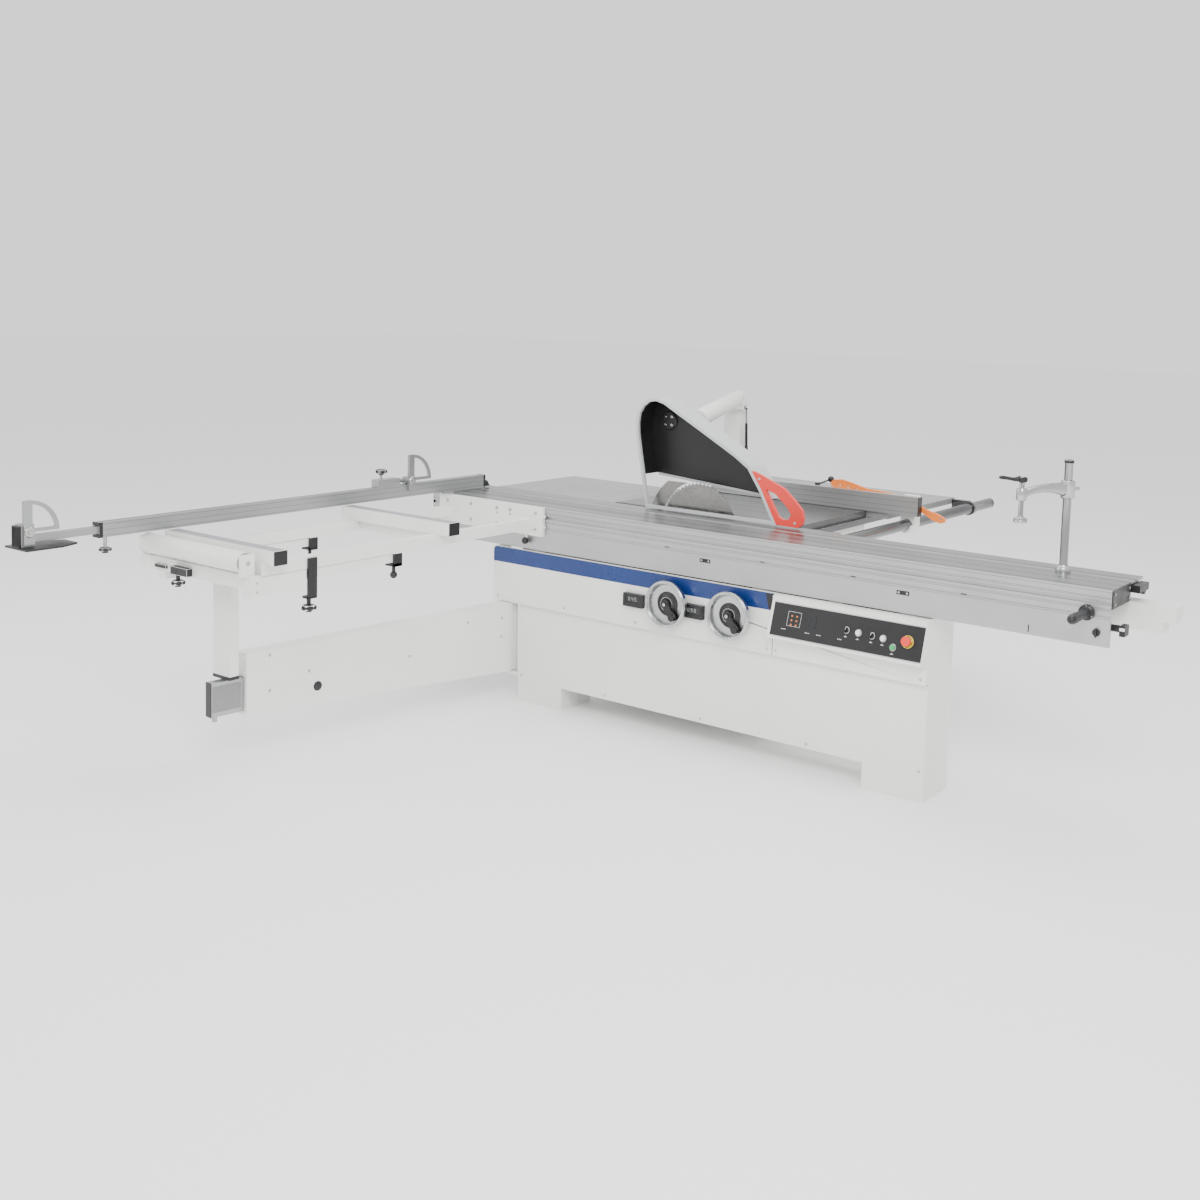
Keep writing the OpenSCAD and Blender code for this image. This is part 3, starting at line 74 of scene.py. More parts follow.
# The camera stands off the operator's corner, a little above the tables and looking slightly down.
look_yaw, look_pitch, look_roll = math.radians(35.73), math.radians(5.51), math.radians(1.73)
look_along = Vector((-math.sin(look_yaw) * math.cos(look_pitch), math.cos(look_yaw) * math.cos(look_pitch),
                     -math.sin(look_pitch)))
look_right = Vector((math.cos(look_yaw), math.sin(look_yaw), 0))
look_up = look_right.cross(look_along)
right = look_right * math.cos(look_roll) + look_up * math.sin(look_roll)
up = look_up * math.cos(look_roll) - look_right * math.sin(look_roll)
camera = bpy.data.objects.new("camera", bpy.data.cameras.new("camera"))
bpy.context.collection.objects.link(camera)
camera.matrix_world = Matrix(((right.x, up.x, -look_along.x, 3.064), (right.y, up.y, -look_along.y, -4.744),
                              (right.z, up.z, -look_along.z, 1.836), (0, 0, 0, 1)))
camera.data.sensor_width = 36
camera.data.lens = 36 * 1379 / 1200
camera.data.shift_x = (600 - 655) / 1200
camera.data.shift_y = (432 - 600) / 1200
bpy.context.scene.camera = camera

# Front base, feet, upper cover, main body, guide beam and guard post: folded and welded steel
# sheet with a white powder coat. The coat has a fine orange peel, a little dust and the odd dull patch.
def mix_tint(tree, colour, darker, factor_socket):
    mix = tree.nodes.new("ShaderNodeMix")
    mix.data_type = "RGBA"
    mix.inputs["A"].default_value = (*colour, 1)
    mix.inputs["B"].default_value = (*darker, 1)
    tree.links.new(factor_socket, mix.inputs["Factor"])
    return mix.outputs["Result"]


def grain(tree, scale, stretch=(1, 1, 1), detail=3.0, at=(0, 0, 0)):
    place = tree.nodes.new("ShaderNodeTexCoord")
    spread = tree.nodes.new("ShaderNodeMapping")
    spread.inputs["Scale"].default_value = stretch
    spread.inputs["Location"].default_value = at
    noise = tree.nodes.new("ShaderNodeTexNoise")
    noise.inputs["Scale"].default_value = scale
    noise.inputs["Detail"].default_value = detail
    tree.links.new(place.outputs["Object"], spread.inputs["Vector"])
    tree.links.new(spread.outputs["Vector"], noise.inputs["Vector"])
    return noise.outputs["Fac"]


def spread_out(tree, socket, low, high, to_low, to_high):
    reach = tree.nodes.new("ShaderNodeMapRange")
    for key, value in (("From Min", low), ("From Max", high), ("To Min", to_low), ("To Max", to_high)):
        reach.inputs[key].default_value = value
    tree.links.new(socket, reach.inputs["Value"])
    return reach.outputs["Result"]


def finish(name, colour, darker, metal, rough, fine, fine_depth, stretch=(1, 1, 1), patch=3.0, wear=0.08):
    """A material with a base colour that varies in patches, a fine surface grain and uneven gloss."""
    material = bpy.data.materials.new(name)
    material.use_nodes = True
    tree = material.node_tree
    shader = tree.nodes["Principled BSDF"]
    shader.inputs["Metallic"].default_value = metal
    patches = spread_out(tree, grain(tree, patch, stretch=(1, 1, 1), detail=6.0), 0.35, 0.7, 0.0, 1.0)
    tree.links.new(mix_tint(tree, colour, darker, patches), shader.inputs["Base Color"])
    gloss = grain(tree, patch * 6, stretch=stretch, detail=8.0, at=(3, 1, 2))
    tree.links.new(spread_out(tree, gloss, 0.3, 0.75, rough - wear, rough + wear), shader.inputs["Roughness"])
    relief = tree.nodes.new("ShaderNodeBump")
    relief.inputs["Strength"].default_value = 0.5
    relief.inputs["Distance"].default_value = fine_depth
    tree.links.new(grain(tree, fine, stretch=stretch, detail=2.0), relief.inputs["Height"])
    tree.links.new(relief.outputs["Normal"], shader.inputs["Normal"])
    return material


def dress(material, *names, soft=0.0012):
    """Gives CAD parts their finish and rounds their sharp edges by a small radius."""
    for name in names:
        part = node[name]
        for place in part.material_slots:
            place.material = material
        if not part.material_slots:
            part.data.materials.append(material)
        if soft:
            part.modifiers.new("weld", "WELD").merge_threshold = 0.00001
            round_edge = part.modifiers.new("round_edge", "BEVEL")
            round_edge.width = soft
            round_edge.segments = 2
            round_edge.limit_method = "ANGLE"
            round_edge.angle_limit = math.radians(35)
            round_edge.harden_normals = True


white_coat = finish("white_powder_coat", (0.80, 0.80, 0.775), (0.76, 0.76, 0.73), 0.0, 0.36, 700, 0.00008)
dress(white_coat, "base_cabinet", "feet", "upper_cover", "main_body", "guide_beam", "guard_post")


# Floor bolts on the feet, plated steel hexagon heads with washers, and the plated screws that hold the cover to the
# base.
def mesh_piece(name, build, material, body, soft_edge=0.0008, smooth=False):
    shape = bmesh.new()
    build(shape)
    bmesh.ops.recalc_face_normals(shape, faces=shape.faces)
    data = bpy.data.meshes.new(name)
    shape.to_mesh(data)
    shape.free()
    piece = bpy.data.objects.new(name, data)
    bpy.context.collection.objects.link(piece)
    data.materials.append(material)
    if soft_edge:
        round_edge = piece.modifiers.new("round_edge", "BEVEL")
        round_edge.width = soft_edge
        round_edge.segments = 2
        round_edge.limit_method = "ANGLE"
        round_edge.angle_limit = math.radians(35)
    if smooth:
        data.shade_smooth()
        data.set_sharp_from_angle(angle=math.radians(40))
    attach(piece, body)
    return piece


def block(shape, x, y, z, turn=0.0):
    middle = Vector(((x[0] + x[1]) / 2, (y[0] + y[1]) / 2, (z[0] + z[1]) / 2))
    size = Vector((x[1] - x[0], y[1] - y[0], z[1] - z[0]))
    bmesh.ops.create_cube(shape, size=1, matrix=Matrix.Translation(middle) @ Matrix.Rotation(turn, 4, "Z")
                          @ Matrix.Diagonal((*size, 1)))


def turned(shape, start, along, profile, sides=40):
    """A lathe-turned solid: profile is a list of (distance along the axis, radius)."""
    along = Vector(along).normalized()
    across = along.orthogonal().normalized()
    other = along.cross(across)
    rings = []
    for reach, radius in profile:
        centre = Vector(start) + along * reach
        if radius < 1e-6:
            rings.append([shape.verts.new(centre)])
        else:
            rings.append([shape.verts.new(centre + radius * (across * math.cos(a) + other * math.sin(a)))
                          for a in (2 * math.pi * k / sides for k in range(sides))])
    for low, high in zip(rings, rings[1:]):
        for k in range(sides):
            corners = [low[k % len(low)], low[(k + 1) % len(low)], high[(k + 1) % len(high)], high[k % len(high)]]
            face = list(dict.fromkeys(corners))
            if len(face) > 2:
                shape.faces.new(face)
    for ring in (rings[0], rings[-1]):
        if len(ring) > 1:
            shape.faces.new(ring)


def hexagon_bolt(shape, at, along, size=0.008):
    turned(shape, at, along, [(0, size * 1.25), (0.0012, size * 1.25), (0.0012, size * 1.0)], 32)
    turned(shape, Vector(at) + Vector(along).normalized() * 0.001, along,
           [(0, size), (size * 0.62, size), (size * 0.7, size * 0.82)], 6)


plated_steel = finish("plated_steel", (0.55, 0.55, 0.54), (0.45, 0.45, 0.43), 1.0, 0.32, 900, 0.00005)


def floor_bolts(shape):
    for x in (-0.875, 0.875):
        for y in (-0.06, 0.06):
            hexagon_bolt(shape, (x, y, 0.0102), (0, 0, 1), 0.011)


mesh_piece("floor_bolt_heads", floor_bolts, plated_steel, "base", 0.0004)


def cover_screws(shape):
    for x in (-1.11, -0.72, -0.33, 0.32, 0.36, 0.98):
        turned(shape, (x, -0.1278, 0.472), (0, -1, 0), [(0, 0.006), (0.0012, 0.006), (0.0024, 0.004)], 24)
    for x in (-0.98, -0.5, 0.0, 0.5, 0.98):
        turned(shape, (x, -0.1048, 0.118), (0, -1, 0), [(0, 0.006), (0.0012, 0.006), (0.0024, 0.004)], 24)
    for z in (0.13, 0.4, 0.66):
        for y in (-0.085, 0.085):
            turned(shape, (0.9998, y, z), (1, 0, 0), [(0, 0.005), (0.0, 0.0052), (0.0, 0.004)], 24)


# Painted shadow and a joint of the sheet metal: a dark strip on the base's plain front, just under the upper cover's
# overhanging edge, paints the shadow that edge casts. A short upright dark line in the cover beside the console is a
# real seam.
# This dark colour serves real joints and lines, and also the painted shadow strip under the upper cover's edge.
dark_joint_and_shadow_line = finish("dark_joint_and_shadow_line", (0.03, 0.03, 0.03), (0.05, 0.05, 0.05), 0.0, 0.8, 400, 0.0001)


def cover_seam(shape):
    # Painted shadow: a dark strip on the base front under the upper cover's overhang.
    block(shape, (-0.9995, 0.9995), (-0.1062, -0.1045), (0.4462, 0.4505))
    block(shape, (0.3428, 0.3452), (-0.1284, -0.1272), (0.452, 0.696))


mesh_piece("cover_seam", cover_seam, dark_joint_and_shadow_line, "base", 0.0)
mesh_piece("cover_screws", cover_screws, plated_steel, "base", 0.0003)


# Colour band along the top of the upper cover: a deep blue coat on steel. It ends beside the console in a small
# black slanted flash.
blue_paint = finish("blue_band_paint", (0.005, 0.028, 0.15), (0.004, 0.024, 0.135), 0.0, 0.3, 500, 0.00005)
dress(blue_paint, "colour_band")
black_moulding = finish("black_moulding", (0.006, 0.006, 0.007), (0.009, 0.009, 0.010), 0.0, 0.42, 1400, 0.00008)


def band_pointer(shape):
    corners = [(0.306, 0.694), (0.341, 0.694), (0.341, 0.632), (0.322, 0.632)]
    near_face = [shape.verts.new((x, -0.1288, z)) for x, z in corners]
    far_face = [shape.verts.new((x, -0.1279, z)) for x, z in corners]
    shape.faces.new(near_face)
    shape.faces.new(far_face)
    for k in range(4):
        shape.faces.new((near_face[k], near_face[(k + 1) % 4], far_face[(k + 1) % 4], far_face[k]))


mesh_piece("band_end_flash", band_pointer, black_moulding, "base", 0.0002)

# Control console: a raised frame round the sloping panel, bright bezels under every button and knob, a yellow
# collar under the stop button and white pointer lines on the two selector knobs.
dress(white_coat, "control_console")
dress(black_moulding, "selector_knob", "mode_knob")
dress(black_moulding, "control_panel", soft=0)
white_moulding = finish("white_moulding", (0.84, 0.84, 0.82), (0.8, 0.8, 0.77), 0.0, 0.3, 900, 0.00003)
dress(white_moulding, "white_button", "reset_button")
green_moulding = finish("green_moulding", (0.03, 0.40, 0.12), (0.025, 0.33, 0.1), 0.0, 0.3, 900, 0.00003)
dress(green_moulding, "start_button")
red_moulding = finish("red_moulding", (0.80, 0.045, 0.03), (0.70, 0.035, 0.025), 0.0, 0.33, 900, 0.00005)
dress(red_moulding, "emergency_stop")
console_x, console_y, console_z = 0.345, -0.178, 0.540
panel_lean = math.atan(40 / 137)
panel_out = Vector((0, -math.cos(panel_lean), math.sin(panel_lean)))
panel_up = Vector((0, math.sin(panel_lean), math.cos(panel_lean)))


def on_panel(along, rise, out=0.0):
    return Vector((console_x + along, console_y, console_z)) + panel_up * rise + panel_out * out


panel_controls = {"selector_knob": (0.337, 0.076), "mode_knob": (0.444, 0.072), "white_button": (0.388, 0.074),
                  "reset_button": (0.491, 0.070), "start_button": (0.535, 0.044), "emergency_stop": (0.590, 0.074)}


def control_bezels(shape):
    for name, (along, rise) in panel_controls.items():
        if name != "emergency_stop":
            turned(shape, on_panel(along, rise, -0.0002), panel_out,
                   [(0, 0.0135), (0.0012, 0.0135), (0.0026, 0.0119), (0.0026, 0.0105), (0.0005, 0.0105)], 40)


mesh_piece("control_bezels", control_bezels, plated_steel, "base", 0.0, smooth=True)
yellow_moulding = finish("yellow_moulding", (0.90, 0.68, 0.04), (0.82, 0.6, 0.03), 0.0, 0.4, 900, 0.00004)


def stop_collar(shape):
    along, rise = panel_controls["emergency_stop"]
    turned(shape, on_panel(along, rise, -0.0002), panel_out,
           [(0, 0.0235), (0.0013, 0.0235), (0.0018, 0.0229), (0.0018, 0.0060), (0.0, 0.0060)], 48)


mesh_piece("stop_collar", stop_collar, yellow_moulding, "base", 0.0, smooth=True)
for knob, lean in (("selector_knob", 20), ("mode_knob", 20)):
    along, rise = panel_controls[knob]

    def pointer(shape, along=along, rise=rise, lean=math.radians(lean)):
        tip = panel_up * math.cos(lean) + Vector((1, 0, 0)) * math.sin(lean)
        side = panel_out.cross(tip)
        corners = [on_panel(along, rise, 0.0143) + tip * a + side * b
                   for a, b in ((0.002, -0.0007), (0.0098, -0.0007), (0.0098, 0.0007), (0.002, 0.0007))]
        low = [shape.verts.new(c - panel_out * 0.0006) for c in corners]
        high = [shape.verts.new(c) for c in corners]
        shape.faces.new(high)
        shape.faces.new(low)
        for k in range(4):
            shape.faces.new((low[k], low[(k + 1) % 4], high[(k + 1) % 4], high[k]))

    mesh_piece(knob + "_line", pointer, white_moulding, knob, 0.0)


def panel_frame(shape):
    for a, b, c, d in ((0.012, 0.653, 0.0045, 0.0075), (0.012, 0.653, 0.1352, 0.1382)):
        corners = [(a, c), (b, c), (b, d), (a, d)]
        low = [shape.verts.new(on_panel(x, z, 0.0)) for x, z in corners]
        high = [shape.verts.new(on_panel(x, z, 0.0016)) for x, z in corners]
        shape.faces.new(high)
        shape.faces.new(low)
        for k in range(4):
            shape.faces.new((low[k], low[(k + 1) % 4], high[(k + 1) % 4], high[k]))


mesh_piece("panel_frame", panel_frame, plated_steel, "base", 0.0)

# Position readouts beside the handwheels: a dark glass window in a black housing, with the value in
# plain pale seven-bar digits.
window_glass = finish("readout_window", (0.012, 0.013, 0.014), (0.016, 0.017, 0.018), 0.0, 0.15, 900, 0.00001)
digit_ink = finish("readout_digits", (0.36, 0.40, 0.36), (0.32, 0.36, 0.32), 0.0, 0.3, 900, 0.00001)
BARS = {"0": "abcdef", "4": "fgbc", "5": "afgcd", "9": "abfgcd", "8": "abcdefg"}


def readout_window(shape):
    for left in (-0.382, -0.079):
        block(shape, (left + 0.0125, left + 0.0875), (-0.1485, -0.1479), (0.5615, 0.5885))


def readout_digits(shape):
    for left, digits in ((-0.382, "045"), (-0.079, "098")):
        for place, digit in enumerate(digits):
            x, z, w, h = left + 0.028 + place * 0.016, 0.567, 0.009, 0.016
            bars = {"a": ((x, x + w), (z + h - 0.0016, z + h)), "d": ((x, x + w), (z, z + 0.0016)),
                    "g": ((x, x + w), (z + h / 2 - 0.0008, z + h / 2 + 0.0008)),
                    "b": ((x + w - 0.0016, x + w), (z + h / 2, z + h)),
                    "c": ((x + w - 0.0016, x + w), (z, z + h / 2)),
                    "f": ((x, x + 0.0016), (z + h / 2, z + h)), "e": ((x, x + 0.0016), (z, z + h / 2))}
            for bar in BARS[digit]:
                block(shape, bars[bar][0], (-0.1489, -0.1484), bars[bar][1])


mesh_piece("readout_windows", readout_window, window_glass, "base", 0.0)
mesh_piece("readout_digits", readout_digits, digit_ink, "base", 0.0)

# Handwheels: turned aluminium dishes with a black moulded hub cap. Each has a folding grip and a locking
# lever, and the hub carries a bright retaining screw.
bright_aluminium = finish("turned_aluminium", (0.50, 0.505, 0.51), (0.43, 0.435, 0.44), 1.0, 0.27, 1200, 0.00003)
dress(bright_aluminium, "tilt_handwheel", "lift_handwheel")
dress(black_moulding, "tilt_crank", "lift_crank")
for side, x in (("tilt", -0.142), ("lift", 0.163)):
    def hub_cap(shape, x=x):
        turned(shape, (x, -0.1492, 0.587), (0, -1, 0),
               [(0, 0.0302), (0.0112, 0.0302), (0.0112, 0.052), (0.0135, 0.051), (0.0165, 0.040), (0.0200, 0.0295),
                (0.0232, 0.027), (0.0234, 0.0)], 48)

    mesh_piece(side + "_wheel_hub", hub_cap, black_moulding, side + "_wheel", 0.0, smooth=True)

    def rim_ring(shape, x=x):
        ring = []
        for k in range(64):
            a = 2 * math.pi * k / 64
            circle = [shape.verts.new((x + (0.0915 + 0.0055 * math.cos(t)) * math.cos(a),
                                       -0.1870 + 0.0045 * math.sin(t),
                                       0.587 + (0.0915 + 0.0055 * math.cos(t)) * math.sin(a)))
                      for t in (2 * math.pi * j / 12 for j in range(12))]
            ring.append(circle)
        for k in range(64):
            for j in range(12):
                shape.faces.new((ring[k][j], ring[k][(j + 1) % 12], ring[(k + 1) % 64][(j + 1) % 12],
                                 ring[(k + 1) % 64][j]))

    mesh_piece(side + "_wheel_rim", rim_ring, bright_aluminium, side + "_wheel", 0.0,
               smooth=True)

    def lock_screw(shape, x=x):
        turned(shape, (x, -0.1885, 0.587), (0, -1, 0),
               [(0, 0.007), (0.0018, 0.0068), (0.003, 0.005), (0.003, 0.0)], 32)

    mesh_piece(side + "_lock_screw", lock_screw, plated_steel, side + "_lock", 0.0, smooth=True)


# Star knobs, ball knobs and their studs: black phenolic mouldings on the frame, the roller extension, the
# crosscut fence and the rip fence. Each one covers the plain round head it is screwed to.
def star_knob(name, at, along, radius, height, body, lobes=5):
    along = Vector(along).normalized()
    across = along.orthogonal().normalized()
    other = along.cross(across)

    def build(shape):
        levels = [(-0.0006, 0.80), (0.002, 0.93), (height * 0.5, 1.0), (height - 0.003, 0.93),
                  (height + 0.0006, 0.72)]
        rings = []
        for reach, share in levels:
            ring = []
            for k in range(60):
                a = 2 * math.pi * k / 60
                r = radius * share * (1.06 + 0.10 * math.cos(lobes * a))
                around = across * math.cos(a) + other * math.sin(a)
                ring.append(shape.verts.new(Vector(at) + along * reach + r * around))
            rings.append(ring)
        for low, high in zip(rings, rings[1:]):
            for k in range(60):
                shape.faces.new((low[k], low[(k + 1) % 60], high[(k + 1) % 60], high[k]))
        shape.faces.new(rings[0])
        shape.faces.new(rings[-1])
        turned(shape, Vector(at) - along * 0.0075, along, [(0, 0.011), (0.0078, 0.0135)], 32)

    return mesh_piece(name, build, black_moulding, body, 0.0, smooth=True)


def ball_knob(name, at, radius, body):
    def build(shape):
        bmesh.ops.create_uvsphere(shape, u_segments=36, v_segments=18, radius=radius,
                                  matrix=Matrix.Translation(Vector(at)))

    return mesh_piece(name, build, black_moulding, body, 0.0, smooth=True)


near_beam, far_beam = -0.918, -1.420
star_knob("frame_foot_knob", (near_beam + 0.006, -1.390, 0.646), (0, 0, 1), 0.026, 0.018, "frame")
star_knob("extension_knob", (-1.300, -1.679, 0.728), (0, 0, 1), 0.0235, 0.016, "roller_extension")
star_knob("fence_clamp_knob", (-1.482, -1.860, 0.855), (0, 0, 1), 0.0215, 0.012, "fence")
star_knob("stop_block_knob", (-1.493, -0.494, 1.0252), (0, 0, 1), 0.0245, 0.016, "stop_block")
star_knob("rip_casting_knob", (0.400, 1.010, 0.958), (0, 1, 0), 0.0235, 0.020, "rip_casting")
star_knob("clamp_arm_knob", (1.3727, 0.1963, 1.197), (-0.342, 0.9397, 0), 0.0205, 0.013, "clamp_arm")
ball_knob("bracket_ball", (near_beam - 0.040, -0.124, 0.742), 0.0156, "frame")
for place, x in (("near", near_beam), ("far", far_beam)):
    ball_knob(place + "_tube_clamp_ball", (x, -0.958, 0.714), 0.0146, "frame")

    def clamp_yoke(shape, x=x):
        block(shape, (x - 0.0268, x - 0.0156), (-0.9788, -0.9372), (0.7512, 0.8035))
        block(shape, (x + 0.0156, x + 0.0268), (-0.9788, -0.9372), (0.7512, 0.8035))
        block(shape, (x - 0.0268, x + 0.0268), (-0.9788, -0.9372), (0.7512, 0.7648))
        turned(shape, (x, -0.958, 0.716), (0, 0, 1), [(0, 0.007), (0.036, 0.007)], 24)

    mesh_piece(place + "_tube_clamp", clamp_yoke, black_moulding, "frame")


def foot_knob_bracket(shape):
    side = near_beam + 0.020
    block(shape, (side - 0.0002, side + 0.0088), (-1.4108, -1.3692), (0.6914, 0.8445))
    block(shape, (near_beam - 0.0066, side + 0.0088), (-1.4108, -1.3692), (0.6914, 0.7006))
    turned(shape, (near_beam + 0.006, -1.390, 0.662), (0, 0, 1), [(0, 0.0078), (0.032, 0.0078)], 24)


mesh_piece("foot_knob_bracket", foot_knob_bracket, black_moulding, "frame")


def extension_stop(shape):
    block(shape, (-1.3306, -1.2294), (-1.6926, -1.6656), (0.7654, 0.7966))
    block(shape, (-1.4506, -1.3794), (-1.6766, -1.6656), (0.7734, 0.7886))
    turned(shape, (-1.300, -1.679, 0.742), (0, 0, 1), [(0, 0.0078), (0.026, 0.0078)], 24)


mesh_piece("extension_stop", extension_stop, black_moulding, "roller_extension", 0.003)


# Crosscut frame: the two cross bars carry grey ribbed wear strips on top and black moulded end caps.
dress(white_coat, "frame_beams", "roller_extension")
strip_grey = finish("wear_strip", (0.33, 0.34, 0.35), (0.28, 0.29, 0.30), 0.0, 0.5, 500, 0.0001)


def wear_strips(shape):
    for y in (-1.613, -0.734):
        for rib in range(5):
            low = y + 0.006 + rib * 0.0098
            block(shape, (-1.466, -0.843), (low, low + 0.0082), (0.9028, 0.9044))


def bar_caps(shape):
    for y in (-1.613, -0.734):
        for x in ((-0.8362, -0.8335), (-1.4755, -1.4728)):
            block(shape, x, (y + 0.0005, y + 0.0595), (0.8505, 0.9025))


mesh_piece("wear_strips", wear_strips, strip_grey, "frame", 0.0003)
mesh_piece("cross_bar_caps", bar_caps, black_moulding, "frame")


def bracket_bolts(shape):
    for x in (-1.44, -1.29, -1.13, -1.05, -0.90):
        for z in (0.800, 0.872):
            hexagon_bolt(shape, (x, -0.1248, z), (0, -1, 0), 0.0065)


mesh_piece("bracket_bolts", bracket_bolts, plated_steel, "frame", 0.0003)


def column_end(shape):
    block(shape, (-1.2605, -1.1575), (-1.5565, -1.5135), (0.3619, 0.3745))


mesh_piece("column_foot_cap", column_end, black_moulding, "frame")

# Support roller: a white-coated steel tube with pressed end caps, which turns on a plain axle.
dress(white_coat, "support_roller")


def roller_caps(shape):
    for x, way in ((-1.4920, -1), (-0.9170, 1)):
        turned(shape, (x, -1.673, 0.861), (way, 0, 0),
               [(0, 0.0365), (0.0006, 0.0365), (0.0010, 0.030), (0.0010, 0.0)], 48)


mesh_piece("roller_end_caps", roller_caps, plated_steel, "support_roller", 0.0, smooth=True)

# Swing arm: folded sheet with a stiffening rib pressed along each side, an end plate with screws, and a black
# plug in the end of the sliding inner tube.
dress(white_coat, "swing_arm")
anodised_y = finish("anodised_profile_across", (0.40, 0.405, 0.41), (0.35, 0.355, 0.36), 0.8, 0.34, 900,
                    0.00004, stretch=(1, 0.02, 1))
dress(anodised_y, "inner_arm")
hinge = Vector((-1.065, -0.075, 0))
arm_way = Vector((-0.144, -1.460, 0)).normalized()
arm_side = Vector((arm_way.y, -arm_way.x, 0))


def arm_box(shape, along, across, z):
    corners = [hinge + arm_way * a + arm_side * b for a, b in
               ((along[0], across[0]), (along[1], across[0]), (along[1], across[1]), (along[0], across[1]))]
    low = [shape.verts.new(c + Vector((0, 0, z[0]))) for c in corners]
    high = [shape.verts.new(c + Vector((0, 0, z[1]))) for c in corners]
    shape.faces.new(low)
    shape.faces.new(high)
    for k in range(4):
        shape.faces.new((low[k], low[(k + 1) % 4], high[(k + 1) % 4], high[k]))


def arm_end_plate(shape):
    arm_box(shape, (1.4009, 1.4034), (-0.0385, 0.0385), (0.209, 0.2225))
    arm_box(shape, (1.4009, 1.4034), (-0.0385, 0.0385), (0.3565, 0.449))
    for z in (0.375, 0.43):
        for across in (-0.024, 0.024):
            at = hinge + arm_way * 1.4034 + arm_side * across + Vector((0, 0, z))
            turned(shape, at, arm_way, [(0, 0.006), (0.0028, 0.006), (0.0036, 0.0045)], 6)


def tube_plug(shape):
    arm_box(shape, (1.5382, 1.5415), (-0.0185, 0.0185), (0.2225, 0.3555))
    arm_box(shape, (1.5300, 1.5390), (-0.0165, 0.0165), (0.2265, 0.3515))


mesh_piece("arm_end_plate", arm_end_plate, white_coat, "swing_arm", 0.0004)
mesh_piece("inner_tube_plug", tube_plug, black_moulding, "inner_arm")

# Sliding carriage: an anodised box profile. Its top carries painted reflection streaks: thin dark and mid-grey
# lengthwise bands laid on the plain top with narrow gaps between them. Its front face carries fine extrusion lines,
# and black inset plates with two bright screws cover the clamping points.
anodised = finish("anodised_profile", (0.46, 0.465, 0.465), (0.41, 0.415, 0.415), 0.75, 0.36, 900, 0.00004,
                  stretch=(0.02, 1, 1))
dress(anodised, "sliding_carriage")
dress(black_moulding, "carriage_fittings")
# Darker and mid-grey copies of the anodised finish, used as painted reflection streaks on the carriage's top; the mid
# one also colours the inner tube's slides.
painted_streak_dark = finish("carriage_top_dark", (0.15, 0.152, 0.155), (0.12, 0.122, 0.125), 0.8, 0.3, 900, 0.00004,
                       stretch=(0.02, 1, 1))
carriage_mid = finish("carriage_top_mid", (0.26, 0.262, 0.265), (0.22, 0.222, 0.225), 0.8, 0.32, 900, 0.00004,
                      stretch=(0.02, 1, 1))
carriage_ends = (-1.5498, 1.6498)


# Thin flat bands just above the carriage's top, coloured as painted reflection streaks.
def painted_top_streaks(*bands):
    def build(shape):
        for low, high in bands:
            block(shape, carriage_ends, (low, high), (0.8990, 0.9002))
    return build


mesh_piece("carriage_top_painted_dark_streaks", painted_top_streaks((-0.092, -0.066), (-0.010, 0.030), (0.062, 0.112), (0.140, 0.170)),
           painted_streak_dark, "carriage", 0.0)
mesh_piece("carriage_top_painted_mid_streaks", painted_top_streaks((-0.063, -0.013), (0.033, 0.059), (0.173, 0.215), (0.218, 0.240)),
           carriage_mid, "carriage", 0.0)


def extrusion_lines(shape):
    for z in (0.8930, 0.8740, 0.8690, 0.8350, 0.8290, 0.7990):
        block(shape, carriage_ends, (-0.10535, -0.1046), (z, z + 0.0009))


def clamping_plates(shape):
    for x in (-0.002, 0.882):
        block(shape, (x - 0.026, x + 0.026), (-0.1060, -0.1048), (0.770, 0.786))
    for x in (-0.194, 0.269, 0.673, 1.120):
        block(shape, (x - 0.011, x + 0.011), (-0.1058, -0.1048), (0.8085, 0.8120))
    block(shape, (1.3645, 1.3685), (-0.1060, -0.1048), (0.712, 0.738))


def plate_screws(shape):
    for x in (-0.002, 0.882):
        for side in (-0.017, 0.017):
            turned(shape, (x + side, -0.1058, 0.778), (0, -1, 0),
                   [(0, 0.0042), (0.0004, 0.0042), (0.0009, 0.003)], 24)
    for x in (-1.552, 1.6538):
        way = -1 if x < 0 else 1
        for y, z in ((-0.085, 0.885), (-0.085, 0.850), (0.072, 0.885), (0.072, 0.850)):
            turned(shape, (x + way * 0.0014, y, z), (way, 0, 0), [(0, 0.005), (0.0016, 0.005), (0.0024, 0.0036)], 6)


mesh_piece("carriage_front_lines", extrusion_lines, dark_joint_and_shadow_line, "carriage", 0.0)
mesh_piece("clamping_plates", clamping_plates, black_moulding, "carriage", 0.0006)
mesh_piece("carriage_screws", plate_screws, plated_steel, "carriage", 0.0)

# Push handle of the carriage: a tapered black grip on a round flange with three cap screws.
def push_grip(shape):
    turned(shape, (1.569, -0.1164, 0.815), (0, -1, 0),
           [(0, 0.0274), (0.003, 0.0268), (0.006, 0.0205), (0.012, 0.0175), (0.050, 0.0158), (0.100, 0.0168),
            (0.128, 0.0178), (0.140, 0.0172), (0.150, 0.0135), (0.1565, 0.0068), (0.1585, 0.0)], 48)


def flange_screws(shape):
    for k in range(3):
        a = math.radians(90 + 120 * k)
        turned(shape, (1.569 + 0.0225 * math.cos(a), -0.1184, 0.815 + 0.0225 * math.sin(a)), (0, -1, 0),
               [(0, 0.0036), (0.0022, 0.0036), (0.0030, 0.0026), (0.0014, 0.0018), (0.0014, 0.0)], 20)


mesh_piece("push_grip", push_grip, black_moulding, "carriage", 0.0, smooth=True)
mesh_piece("push_grip_screws", flange_screws, plated_steel, "carriage", 0.0, smooth=True)

